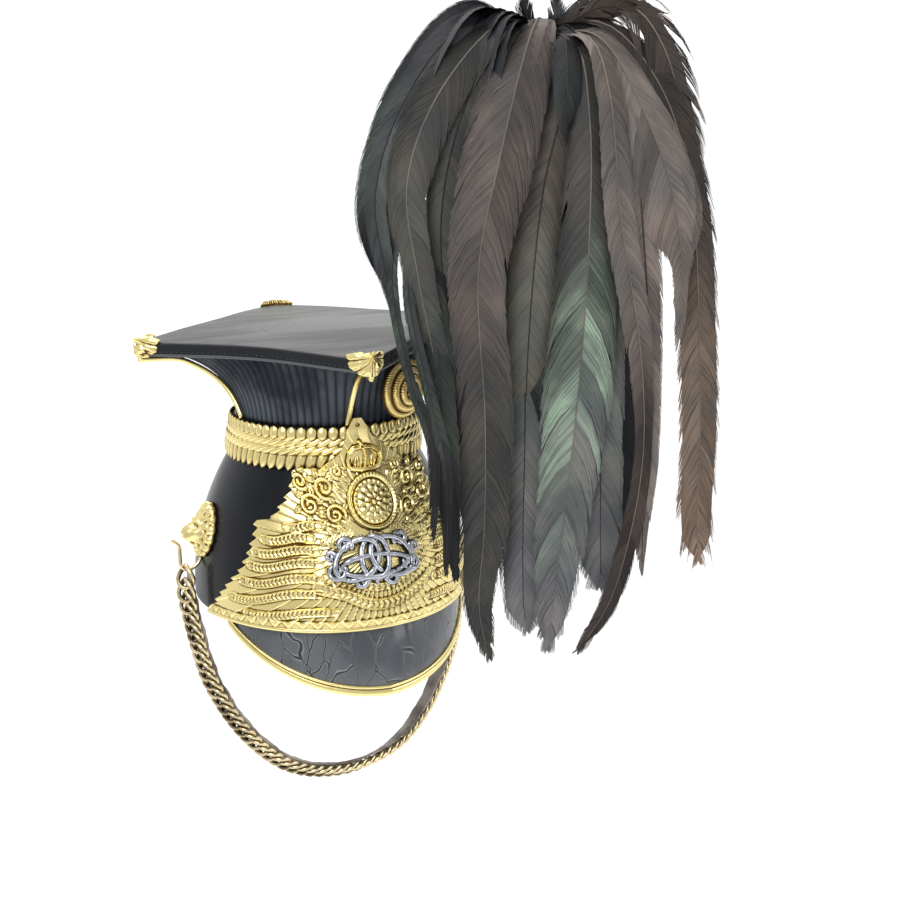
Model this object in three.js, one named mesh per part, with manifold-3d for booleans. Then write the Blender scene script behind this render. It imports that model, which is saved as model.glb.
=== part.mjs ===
// A lancer's cap: a leather skull, a fluted cloth body under a square top, gilt mounts, a chin chain
// on a velvet strip and a drooping plume of cock's feathers. Millimetres, +Z up, the front towards -Y and
// the wearer's left towards +X. The origin is the middle of the head opening.
import * as THREE from 'three';
import Module from 'manifold-3d';

const wasm = await Module();
wasm.setup();

// Driving dimensions
const GAP = 0.3;
const SEAT = 0.5;
const RIM = { halfWidth: 84.7, halfLength: 98.3, z: 0, centreY: 0 };
const WAIST = { halfWidth: 59.9, halfLength: 66.5, z: 94.3, centreY: -5.9 };
const NECK = { halfWidth: 56.3, halfLength: 63.9, z: 120.5, centreY: -12.2 };
const SKULL_BELL = 2.2;
const SKULL_WALL = 2.4;
const SKULL_TOP = NECK.z - 0.3;
const CLOTH_WALL = 2;
const RIBS_PER_FACE = 16;
const RIB_HEIGHT = 1.1;
const TOP = { halfDiagonal: 112.9, pinch: 0.12, z: 172.2, centreY: -3.9, lean: 0.0386, droop: 2.2 };
const TOP_TWIST = THREE.MathUtils.degToRad(-4.9);
const TOP_SKIRT = 8.5;
const TOP_LEATHER = 2.4;
const BAND_SCALLOPS = 63;
const BAND = { low: 94.3, high: 120.5, notch: 2.4, back: 0.35, edge: 1.6, crest: 2.9 };
const PLATE = { sheet: 1.1, stand: 1, stepFrom: 78, stepTo: 93, tooth: 3 };
const PEAK = { endTurn: 69.5, down: 40.4, forward: 5.5, wall: 2.2, bulge: 2.4 };
const BINDING = { hold: 4.2, lip: 1.5, thick: 0.9 };
const LION = { turn: 92, z: 50, radius: 17.5 };
const HOOK_WIRE = 1;
const CHAIN = { width: 10, thick: 5 };
const STRAP = { width: 8.4, thick: 1.8 };
const WIRE = 1.5;
const WIRE_STAND = 1;
const ROSETTE = { turn: 25, z: 140, radius: 18.5, rise: 10, nod: 6, stand: 2.6 };
const STEM = 2.5;
const PLUME_HEAD = { x: 112, y: -98, z: 345, radius: 20, halfHeight: 16, turn: 8 };
const FEATHER_THICK = 2.4;
const FEATHER_FULL = 8;
const FEATHER_TURN = 0.22;
const FEATHER_LEVEL = 0.05;
const FEATHER_MERGE = 0.05;

const GILT = { color: 0xc9a24a, roughness: 0.35, metalness: 1 };
const PATENT = { color: 0x101216, roughness: 0.2, metalness: 0 };
const CLOTH = { color: 0x1b1f29, roughness: 0.9, metalness: 0 };
const TOP_HIDE = { color: 0x3a3d40, roughness: 0.45, metalness: 0 };
const SILVER = { color: 0xa9adb3, roughness: 0.35, metalness: 1 };
const OLD_BRASS = { color: 0x8f7a4a, roughness: 0.45, metalness: 1 };
const VELVET = { color: 0x3a2a20, roughness: 1, metalness: 0 };
const FEATHER = { color: 0x35322f, roughness: 0.6, metalness: 0 };

const { degToRad, lerp, clamp, smoothstep } = THREE.MathUtils;
const FULL_TURN = Math.PI * 2;
const QUARTER_TURN = Math.PI / 2;
const point = (x, y, z) => new THREE.Vector3(x, y, z);
const range = (count) => Array.from({ length: count }, (_, index) => index);
const spread = (from, to, count) => range(count).map((index) => lerp(from, to, index / (count - 1)));

// Closed meshes: a geometry from shared points and faces, turned so that its faces point out
function closedGeometry(points, faces) {
  let volume = 0;
  for (let f = 0; f < faces.length; f += 3) {
    const [a, b, c] = [points[faces[f]], points[faces[f + 1]], points[faces[f + 2]]];
    volume += a.dot(b.clone().cross(c));
  }
  const outward = volume < 0 ? faces.slice().reverse() : faces;
  const geometry = new THREE.BufferGeometry();
  const places = points.flatMap((p) => p.toArray());
  geometry.setAttribute('position', new THREE.Float32BufferAttribute(places, 3));
  geometry.setIndex(outward);
  return geometry;
}

// A skin from ring to ring; a loop joins the last ring to the first, and otherwise both ends are capped
function skin(rings, loop = false) {
  const count = rings[0].length;
  const points = rings.flat();
  const faces = [];
  const spans = loop ? rings.length : rings.length - 1;
  for (const row of range(spans)) {
    const next = (row + 1) % rings.length;
    for (const i of range(count)) {
      const j = (i + 1) % count;
      const [a, b] = [row * count + i, row * count + j];
      const [c, d] = [next * count + j, next * count + i];
      faces.push(a, b, c, a, c, d);
    }
  }
  if (!loop) {
    for (const [row, flip] of [[0, true], [rings.length - 1, false]]) {
      const centre = rings[row].reduce((sum, p) => sum.add(p), point(0, 0, 0)).divideScalar(count);
      const hub = points.push(centre) - 1;
      for (const i of range(count)) {
        const [a, b] = [row * count + i, row * count + (i + 1) % count];
        faces.push(hub, flip ? b : a, flip ? a : b);
      }
    }
  }
  return closedGeometry(points, faces);
}

// A curved slab between a front grid and a back grid of the same rows and columns
function slab(front, back) {
  const [rows, columns] = [front.length, front[0].length];
  const points = [...front.flat(), ...back.flat()];
  const at = (side, row, column) => side * rows * columns + row * columns + column;
  const faces = [];
  const quad = (a, b, c, d) => faces.push(a, b, c, a, c, d);
  for (const r of range(rows - 1)) {
    for (const c of range(columns - 1)) {
      quad(at(0, r, c), at(0, r, c + 1), at(0, r + 1, c + 1), at(0, r + 1, c));
      quad(at(1, r, c), at(1, r + 1, c), at(1, r + 1, c + 1), at(1, r, c + 1));
    }
    quad(at(0, r, 0), at(0, r + 1, 0), at(1, r + 1, 0), at(1, r, 0));
    quad(at(0, r, columns - 1), at(1, r, columns - 1), at(1, r + 1, columns - 1), at(0, r + 1, columns - 1));
  }
  for (const c of range(columns - 1)) {
    quad(at(0, 0, c), at(1, 0, c), at(1, 0, c + 1), at(0, 0, c + 1));
    quad(at(0, rows - 1, c), at(0, rows - 1, c + 1), at(1, rows - 1, c + 1), at(1, rows - 1, c));
  }
  return closedGeometry(points, faces);
}

function solidOf(geometry) {
  const mesh = new wasm.Mesh({
    numProp: 3,
    vertProperties: geometry.getAttribute('position').array,
    triVerts: new Uint32Array(geometry.getIndex().array),
  });
  return new wasm.Manifold(mesh);
}

function geometryOf(solid) {
  const mesh = solid.getMesh();
  const geometry = new THREE.BufferGeometry();
  geometry.setAttribute('position', new THREE.Float32BufferAttribute(mesh.vertProperties, 3));
  geometry.setIndex(Array.from(mesh.triVerts));
  return geometry;
}

// A wire of constant radius through a list of points
function wire(points, radius, steps, sides = 8) {
  const section = new THREE.Shape(range(sides).map((i) => {
    const angle = FULL_TURN * i / sides;
    return new THREE.Vector2(Math.cos(angle) * radius, Math.sin(angle) * radius);
  }));
  const route = new THREE.CatmullRomCurve3(points);
  const tube = new THREE.ExtrudeGeometry(section, { steps, extrudePath: route, curveSegments: 1 });
  return mergedByPosition(tube);
}

// Points that lie on each other are made one, so that the skin is closed
function mergedByPosition(geometry) {
  const source = geometry.getAttribute('position');
  const corners = geometry.getIndex() ? geometry.getIndex().array : range(source.count);
  const points = [];
  const known = new Map();
  const faces = Array.from(corners, (corner) => {
    const p = new THREE.Vector3().fromBufferAttribute(source, corner);
    const key = p.toArray().map((v) => Math.round(v * 1e4)).join(' ');
    if (!known.has(key)) known.set(key, points.push(p) - 1);
    return known.get(key);
  });
  const whole = [];
  for (let f = 0; f < faces.length; f += 3) {
    const [a, b, c] = faces.slice(f, f + 3);
    if (a !== b && b !== c && c !== a) whole.push(a, b, c);
  }
  return closedGeometry(points, whole);
}

// The cap's outer form: ellipses up to the neck, then a sweep out to the pinched square of the top.
// A turn is measured from the front towards the wearer's left.
const ellipseReach = (turn, a, b) => a * b / Math.hypot(b * Math.sin(turn), a * Math.cos(turn));

function squareReach(turn) {
  const t = turn - TOP_TWIST;
  const straight = TOP.halfDiagonal / (Math.abs(Math.cos(t)) + Math.abs(Math.sin(t)));
  return straight * (1 - TOP.pinch * Math.sin(2 * t) ** 2);
}

const skirtLow = TOP.z - TOP_SKIRT;
const CLOTH_INSET = TOP_LEATHER + 2 * SEAT;

function formReach(turn, z) {
  if (z <= WAIST.z) {
    const bell = 1 - clamp(z / WAIST.z, 0, 1) ** SKULL_BELL;
    const halfWidth = lerp(WAIST.halfWidth, RIM.halfWidth, bell);
    return ellipseReach(turn, halfWidth, lerp(WAIST.halfLength, RIM.halfLength, bell));
  }
  const rise = clamp((z - WAIST.z) / (NECK.z - WAIST.z), 0, 1);
  const halfWidth = lerp(WAIST.halfWidth, NECK.halfWidth, rise);
  const neckReach = ellipseReach(turn, halfWidth, lerp(WAIST.halfLength, NECK.halfLength, rise));
  const sweep = clothSweep(z);
  return lerp(neckReach, squareReach(turn) - CLOTH_INSET, sweep);
}

function clothSweep(z) {
  const s = clamp((z - NECK.z) / (skirtLow - NECK.z), 0, 1);
  return 1 - Math.sqrt(1 - s * s);
}

function formCentre(z) {
  if (z <= WAIST.z) return WAIST.centreY * Math.max(z, 0) / WAIST.z;
  const rise = clamp((z - WAIST.z) / (NECK.z - WAIST.z), 0, 1);
  return lerp(lerp(WAIST.centreY, NECK.centreY, rise), TOP.centreY, clothSweep(z));
}

function formPoint(turn, z, out = 0) {
  const reach = formReach(turn, z) + out;
  const y = formCentre(z) - reach * Math.cos(turn);
  const lean = clothSweep(z) * TOP.lean * (y - TOP.centreY);
  return point(reach * Math.sin(turn), y, z + lean);
}

function formNormal(turn, z) {
  const step = 0.01;
  const along = formPoint(turn + step, z).sub(formPoint(turn - step, z));
  const up = formPoint(turn, z + 1).sub(formPoint(turn, z - 1));
  return along.cross(up).normalize();
}

// A point that stands a given distance off the form, square to its surface
const offForm = (turn, z, off) => formPoint(turn, z).addScaledVector(formNormal(turn, z), off);

const turnsAround = (count) => range(count).map((i) => TOP_TWIST + FULL_TURN * i / count);

// Skull: black patent leather, bell-shaped and open below
function skullGeometry() {
  const turns = turnsAround(32);
  const outerHeights = [0, 25, 48, 68, 83, WAIST.z, SKULL_TOP];
  const innerHeights = [SKULL_TOP, WAIST.z, 50, 0];
  const outer = outerHeights.map((z) => turns.map((turn) => formPoint(turn, z)));
  const inner = innerHeights.map((z) => turns.map((turn) => formPoint(turn, z, -SKULL_WALL)));
  return skin([...outer, ...inner], true);
}

// Cloth body: vertical flutes that fan out from the neck to the four corners of the top, hollow inside
function clothGeometry() {
  const turns = turnsAround(RIBS_PER_FACE * 4 * 2);
  const low = SKULL_TOP + GAP;
  const sweepAngles = [0, 24, 46, 68, 90].map(degToRad);
  const heights = sweepAngles.map((angle) => lerp(low, skirtLow, Math.sin(angle)));
  const rib = (i) => (i % 2 ? -RIB_HEIGHT : 0);
  const rings = heights.map((z) => turns.map((turn, i) => formPoint(turn, z, rib(i))));
  rings.push(turns.map((turn, i) => topPoint(turn, CLOTH_INSET - rib(i), TOP_LEATHER + SEAT)));
  const hollowTurns = turnsAround(16);
  const hollowRing = (z) => hollowTurns.map((turn) => formPoint(turn, z, -CLOTH_WALL - RIB_HEIGHT));
  const hollow = heights.map(hollowRing);
  hollow[0] = hollow[0].map((p) => p.clone().setZ(p.z - CLOTH_WALL));
  hollow.push(hollowRing(skirtLow).map((p) => p.clone().setZ(p.z + 2 * TOP_SKIRT)));
  return geometryOf(solidOf(skin(rings)).subtract(solidOf(skin(hollow))));
}

// Square top: a leather lid with a stitched skirt, pinched in along its sides, its corners a little low
function topPoint(turn, inset, depth) {
  const reach = squareReach(turn) - inset;
  const y = TOP.centreY - reach * Math.cos(turn);
  const corner = Math.abs(Math.cos(2 * (turn - TOP_TWIST))) ** 3;
  const droop = TOP.droop * corner * (reach / TOP.halfDiagonal) ** 2;
  return point(reach * Math.sin(turn), y, TOP.z - depth - droop + TOP.lean * (y - TOP.centreY));
}

function topGeometry() {
  const turns = turnsAround(40);
  const ring = (inset, depth) => turns.map((turn) => topPoint(turn, inset, depth));
  const inset = TOP_LEATHER;
  const middle = 40;
  const rings = [
    ring(middle, 0),
    ring(0, 0),
    ring(0, TOP_SKIRT),
    ring(inset, TOP_SKIRT),
    ring(inset, TOP_LEATHER),
    ring(middle, TOP_LEATHER),
  ];
  return skin(rings);
}

// Waist band: stamped gilt, a row of shells above a row of leaves, both edges scalloped
function bandGeometry() {
  const turns = turnsAround(BAND_SCALLOPS * 2);
  const height = BAND.high - BAND.low;
  const rows = [
    { up: 0, off: BAND.edge, notch: 1 },
    { up: 0.5, off: BAND.crest, notch: 0 },
    { up: 1, off: BAND.edge, notch: -1 },
    { up: 1, off: BAND.back, notch: -1 },
    { up: 0, off: BAND.back, notch: 1 },
  ];
  return skin(rows.map((row) => turns.map((turn, i) => {
    const cut = i % 2 ? row.notch * BAND.notch : 0;
    return formPoint(turn, BAND.low + height * row.up + cut, row.off);
  })), true);
}

// Front plate: a rayed gilt sheet bent round the skull and over the band, with a raised crown and oval
const PLATE_EDGE = [
  { z: 0.8, halfTurn: 79 },
  { z: 15, halfTurn: 66 },
  { z: 30, halfTurn: 59 },
  { z: 45, halfTurn: 52.5 },
  { z: 60, halfTurn: 48 },
  { z: 75, halfTurn: 41 },
  { z: 88, halfTurn: 35 },
  { z: 96, halfTurn: 21 },
  { z: 106, halfTurn: 12.5 },
  { z: 115, halfTurn: 7 },
  { z: 124, halfTurn: 2.6 },
];
const PLATE_RAISED = [
  { name: 'crown', z: 99, halfWidth: 10, halfHeight: 12, rise: 3.2 },
  { name: 'oval', z: 72, halfWidth: 18, halfHeight: 17, rise: 3.4 },
  { name: 'field', z: 42, halfWidth: 42, halfHeight: 17, rise: 1.8 },
  { name: 'base', z: 14, halfWidth: 66, halfHeight: 9, rise: 1.6 },
];

const RELIEF_EDGE = 1.25;
const RELIEF_SLOPE = 0.6;

function plateHalfTurn(z) {
  const after = PLATE_EDGE.findIndex((row) => row.z >= z);
  if (after <= 0) return PLATE_EDGE[0].halfTurn;
  const [low, high] = [PLATE_EDGE[after - 1], PLATE_EDGE[after]];
  return lerp(low.halfTurn, high.halfTurn, (z - low.z) / (high.z - low.z));
}

function plateRelief(turn, z) {
  const across = turn * formReach(0, z);
  const raised = PLATE_RAISED.map((form) => {
    const far = Math.hypot(across / form.halfWidth, (z - form.z) / form.halfHeight);
    return form.rise * smoothstep(RELIEF_EDGE - far, 0, RELIEF_SLOPE);
  });
  return Math.max(...raised);
}

// The sheet lies on the skull and steps out over the band
const plateBack = (z) => PLATE.stand + BAND.crest * smoothstep(z, PLATE.stepFrom, PLATE.stepTo);

function plateGeometry() {
  const columns = spread(-1, 1, 15);
  const [low, high] = [PLATE_EDGE[0].z, PLATE_EDGE[PLATE_EDGE.length - 1].z];
  const heights = spread(low, high, 19);
  const lastTooth = heights.length - 3;
  const grid = (lift) => heights.map((z, row) => columns.map((u) => {
    const tooth = row % 2 && row < lastTooth ? PLATE.tooth : 0;
    const turn = degToRad(u * (plateHalfTurn(z) - tooth * Math.abs(u) ** 6));
    return offForm(turn, z, plateBack(z) + lift(turn, z));
  }));
  return slab(grid((turn, z) => PLATE.sheet + plateRelief(turn, z)), grid(() => 0));
}

// Silver knot on the plate: three rings laced across each other
const KNOT_RINGS = [
  { across: -15, halfWidth: 16, halfHeight: 12, tip: 20 },
  { across: 15, halfWidth: 16, halfHeight: 12, tip: -20 },
  { across: 0, halfWidth: 20, halfHeight: 8, tip: 0 },
];
const KNOT = { turn: degToRad(-2), z: 42, wire: 1.5, steps: 12 };

function knotGeometry() {
  const reach = formReach(0, KNOT.z);
  const onPlate = (across, up, off) => {
    const turn = KNOT.turn + across / reach;
    const z = KNOT.z + up;
    return offForm(turn, z, plateBack(z) + PLATE.sheet + plateRelief(turn, z) + SEAT + off);
  };
  const rings = KNOT_RINGS.map((row) => {
    const tip = degToRad(row.tip);
    const loop = range(KNOT.steps).map((i) => {
      const angle = FULL_TURN * i / KNOT.steps;
      return range(3).map((side) => {
        const turnAbout = FULL_TURN * (side / 3 + 0.25);
        const wide = KNOT.wire * Math.cos(turnAbout);
        const x = (row.halfWidth + wide) * Math.cos(angle);
        const y = (row.halfHeight + wide) * Math.sin(angle);
        const across = row.across + x * Math.cos(tip) - y * Math.sin(tip);
        const up = x * Math.sin(tip) + y * Math.cos(tip);
        return onPlate(across, up, KNOT.wire * (0.5 + Math.sin(turnAbout)));
      });
    });
    return solidOf(skin(loop, true));
  });
  return geometryOf(rings.reduce((whole, ring) => whole.add(ring)));
}

// Peak: patent leather that drops steeply from the front of the rim
function peakFrame(share) {
  const turn = degToRad(PEAK.endTurn) * share;
  const s = Math.abs(share);
  const down = PEAK.down * (1 - s ** 1.9) ** 0.93;
  const forward = PEAK.forward * (1 - s ** 0.7);
  const root = point(RIM.halfWidth * Math.sin(turn), -RIM.halfLength * Math.cos(turn), -GAP);
  const out = point(root.x / RIM.halfWidth ** 2, root.y / RIM.halfLength ** 2, 0).normalize();
  const edge = root.clone().addScaledVector(out, forward);
  edge.z -= down;
  return { root, edge, out };
}

const peakShares = spread(-0.98, 0.98, 23);

function peakPoint(share, v) {
  const { root, edge, out } = peakFrame(share);
  const swell = PEAK.bulge * 4 * v * (1 - v) * (1 - Math.abs(share));
  return root.lerp(edge, v).addScaledVector(out, swell);
}

function peakGeometry() {
  const grid = (off) => peakShares.map((share) => {
    const { out } = peakFrame(share);
    return [0, 0.5, 1].map((v) => peakPoint(share, v).addScaledVector(out, off));
  });
  return slab(grid(0), grid(-PEAK.wall));
}

// Binding: a gilt channel folded over the edge of the peak
function bindingGeometry() {
  const fold = (reach, half) => [
    { along: -BINDING.hold, off: half },
    { along: reach, off: half },
    { along: reach, off: -half },
    { along: -BINDING.hold, off: -half },
  ];
  const grid = (section) => peakShares.slice(1, -1).map((share) => {
    const { edge, out } = peakFrame(share);
    const middle = edge.clone().addScaledVector(out, -PEAK.wall / 2);
    const along = edge.clone().sub(peakPoint(share, 0.5)).normalize();
    const off = out.clone().addScaledVector(along, -out.dot(along)).normalize();
    return section.map((corner) => middle.clone()
      .addScaledVector(along, corner.along)
      .addScaledVector(off, corner.off));
  });
  const { lip, thick } = BINDING;
  return slab(grid(fold(SEAT + thick, lip + thick)), grid(fold(SEAT, lip)));
}

// Lion-head boss: a maned face cast in gilt, seated on the side of the skull. The first rings are its back.
const LION_RINGS = [
  { far: 0.04, rise: 0 },
  { far: 0.55, rise: 0 },
  { far: 1, rise: 0 },
  { far: 1, rise: 0.8 },
  { far: 0.96, rise: 2.6 },
  { far: 0.74, rise: 4.6 },
  { far: 0.62, rise: 4.2 },
  { far: 0.42, rise: 7.4 },
  { far: 0.2, rise: 9 },
];
const MANE = { from: 0.7, tufts: 8, notch: 0.9 };
const MUZZLE = { below: 4, radius: 9, soft: 7, rise: 5 };

function lionGeometry(side) {
  const turn0 = degToRad(LION.turn) * side;
  const reach = formReach(turn0, LION.z);
  return skin(LION_RINGS.map(({ far, rise }) => range(MANE.tufts * 2).map((i) => {
    const angle = Math.PI * i / MANE.tufts;
    const tuft = far > MANE.from && i % 2 ? MANE.notch : 1;
    const across = LION.radius * far * tuft * Math.sin(angle);
    const up = LION.radius * far * tuft * Math.cos(angle);
    const fromNose = Math.hypot(across, up + MUZZLE.below);
    const muzzle = rise ? MUZZLE.rise * smoothstep(MUZZLE.radius - fromNose, 0, MUZZLE.soft) : 0;
    return offForm(turn0 + across / reach, LION.z + up, SEAT + rise + muzzle);
  })));
}

// Chain hook: a wire bent out from the skull below the lion's chin, its free end turned up
const HOOK_ROUTE = [
  { out: 0.7, z: 30.6 },
  { out: 2.6, z: 27.4 },
  { out: 6.3, z: 24.6 },
  { out: 10.4, z: 23.8 },
  { out: 13.7, z: 26.4 },
  { out: 14.2, z: 33 },
  { out: 14.5, z: 40 },
  { out: 18.8, z: 44.4 },
];

function hookGeometry(side) {
  const foot = formPoint(degToRad(LION.turn) * side, HOOK_ROUTE[0].z);
  const route = HOOK_ROUTE.map((row) => point(foot.x + side * row.out, foot.y, row.z));
  return wire(route, HOOK_WIRE, 10, 6);
}

// Chin chain and its velvet strip: one loop from hook to hook, hanging in a plane that leans forward
const CHAIN_ROUTE = [
  { x: 94, z: 22.7 },
  { x: 95, z: 7 },
  { x: 92, z: -20 },
  { x: 85, z: -51 },
  { x: 66, z: -87 },
  { x: 41, z: -112 },
  { x: 14, z: -122 },
];
const CHAIN_TOP = { y: 1, z: 25 };
const CHAIN_LEAN = 0.17;

function chainRoute() {
  const hang = (x, z) => point(x, CHAIN_TOP.y - CHAIN_LEAN * (CHAIN_TOP.z - z), z);
  const left = CHAIN_ROUTE.map((row) => hang(row.x, row.z));
  const right = CHAIN_ROUTE.map((row) => hang(-row.x, row.z)).reverse();
  return new THREE.CatmullRomCurve3([...left, ...right]);
}

function ribbonAlong(route, steps, section) {
  const wide = point(0, 1, -CHAIN_LEAN).normalize();
  return skin(spread(0, 1, steps + 1).map((share) => {
    const centre = route.getPointAt(share);
    const inward = wide.clone().cross(route.getTangentAt(share)).normalize();
    return section.map((corner) => centre.clone()
      .addScaledVector(wide, corner.wide)
      .addScaledVector(inward, corner.inward));
  }));
}

function chainGeometry() {
  const sides = 8;
  const section = range(sides).map((i) => {
    const angle = FULL_TURN * (i + 0.5) / sides;
    return { wide: CHAIN.width / 2 * Math.cos(angle), inward: CHAIN.thick / 2 * Math.sin(angle) };
  });
  return ribbonAlong(chainRoute(), 26, section);
}

function strapGeometry() {
  const near = CHAIN.thick / 2 + GAP;
  const section = [
    { wide: -STRAP.width / 2, inward: near },
    { wide: STRAP.width / 2, inward: near },
    { wide: STRAP.width / 2, inward: near + STRAP.thick },
    { wide: -STRAP.width / 2, inward: near + STRAP.thick },
  ];
  return ribbonAlong(chainRoute(), 26, section);
}

// Corner ornaments: gilt leaves folded over the corners of the top
const cornerTurn = (corner) => TOP_TWIST + QUARTER_TURN * corner;

function ornamentGeometry(corner) {
  const columns = spread(-1, 1, 9);
  const span = degToRad(7.5);
  const lobe = (u) => 0.75 + 0.25 * Math.cos(Math.PI * 4 * u);
  const rows = [
    { inset: 0, depth: (u) => TOP_SKIRT * 0.45 + 6 * (1 - u * u) * lobe(u) },
    { inset: 0, depth: (u) => TOP_SKIRT * 0.4 * (1 - 0.3 * Math.abs(u)) },
    { inset: 0, depth: () => 0 },
    { inset: 1, depth: () => 0 },
  ];
  const grid = (thick) => rows.map((row, index) => columns.map((u) => {
    const turn = cornerTurn(corner) + span * u;
    const overTop = index >= 2;
    const fold = row.inset * (3 + 7 * (1 - Math.abs(u)) * lobe(u));
    const p = topPoint(turn, fold - (SEAT + thick + 0.9), row.depth(u));
    const lift = overTop ? SEAT + thick * 0.6 : 0;
    return p.setZ(p.z + lift);
  }));
  return slab(grid(2.6), grid(0));
}

// Corner wires: gilt wires down the four angles of the cloth, from the ornaments to the band
function wireGeometry(corner) {
  const turn = cornerTurn(corner);
  const off = GAP + WIRE_STAND + WIRE;
  const heights = [NECK.z + 1.2, 130, 140, 149, 156, 160.2];
  const underLeaf = topPoint(turn, -GAP, TOP_SKIRT + WIRE + 2 * GAP);
  return wire([...heights.map((z) => offForm(turn, z, off)), underLeaf], WIRE, 8, 6);
}

// Rosette: a domed boss of rope rings on the front left of the cloth, where the plume is fixed
const rosetteTurn = degToRad(ROSETTE.turn);
const rosetteSeat = formPoint(rosetteTurn, ROSETTE.z, ROSETTE.stand);
const rosetteNod = -Math.sin(degToRad(ROSETTE.nod));
const rosetteOut = point(Math.sin(rosetteTurn), -Math.cos(rosetteTurn), rosetteNod).normalize();
const rosetteUp = point(0, 0, 1).addScaledVector(rosetteOut, -rosetteOut.z).normalize();
const rosetteSide = rosetteOut.clone().cross(rosetteUp).negate();

function rosetteGeometry() {
  const rope = 1.1;
  const profile = [new THREE.Vector2(0, 0), new THREE.Vector2(ROSETTE.radius - 1, 0)];
  for (const i of range(9)) {
    const share = 1 - i / 9;
    const crest = i % 2 ? 0 : rope;
    const dome = (ROSETTE.rise - rope) * Math.cos(share * QUARTER_TURN) ** 0.8;
    profile.push(new THREE.Vector2(ROSETTE.radius * share, 1.2 + dome + crest));
  }
  profile.push(new THREE.Vector2(0, ROSETTE.rise + 1.4));
  return mergedByPosition(new THREE.LatheGeometry(profile, 16));
}

// Plume stem: the covered wire that stands beside the rosette and rises past the lid to the plume's head
const STEM_ROUTE = [
  { up: -6, out: 2.4 },
  { up: 4, out: 3.2 },
  { up: 20, out: 8.5 },
  { up: 36, out: 13 },
];

function stemGeometry() {
  const beside = STEM_ROUTE.map((row) => rosetteSeat.clone()
    .addScaledVector(rosetteSide, ROSETTE.radius + STEM + GAP)
    .addScaledVector(rosetteUp, row.up)
    .addScaledVector(rosetteOut, row.out));
  const head = point(PLUME_HEAD.x, PLUME_HEAD.y, PLUME_HEAD.z - PLUME_HEAD.halfHeight - 2 * SEAT);
  return wire([...beside, head], STEM, 10, 6);
}

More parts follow.
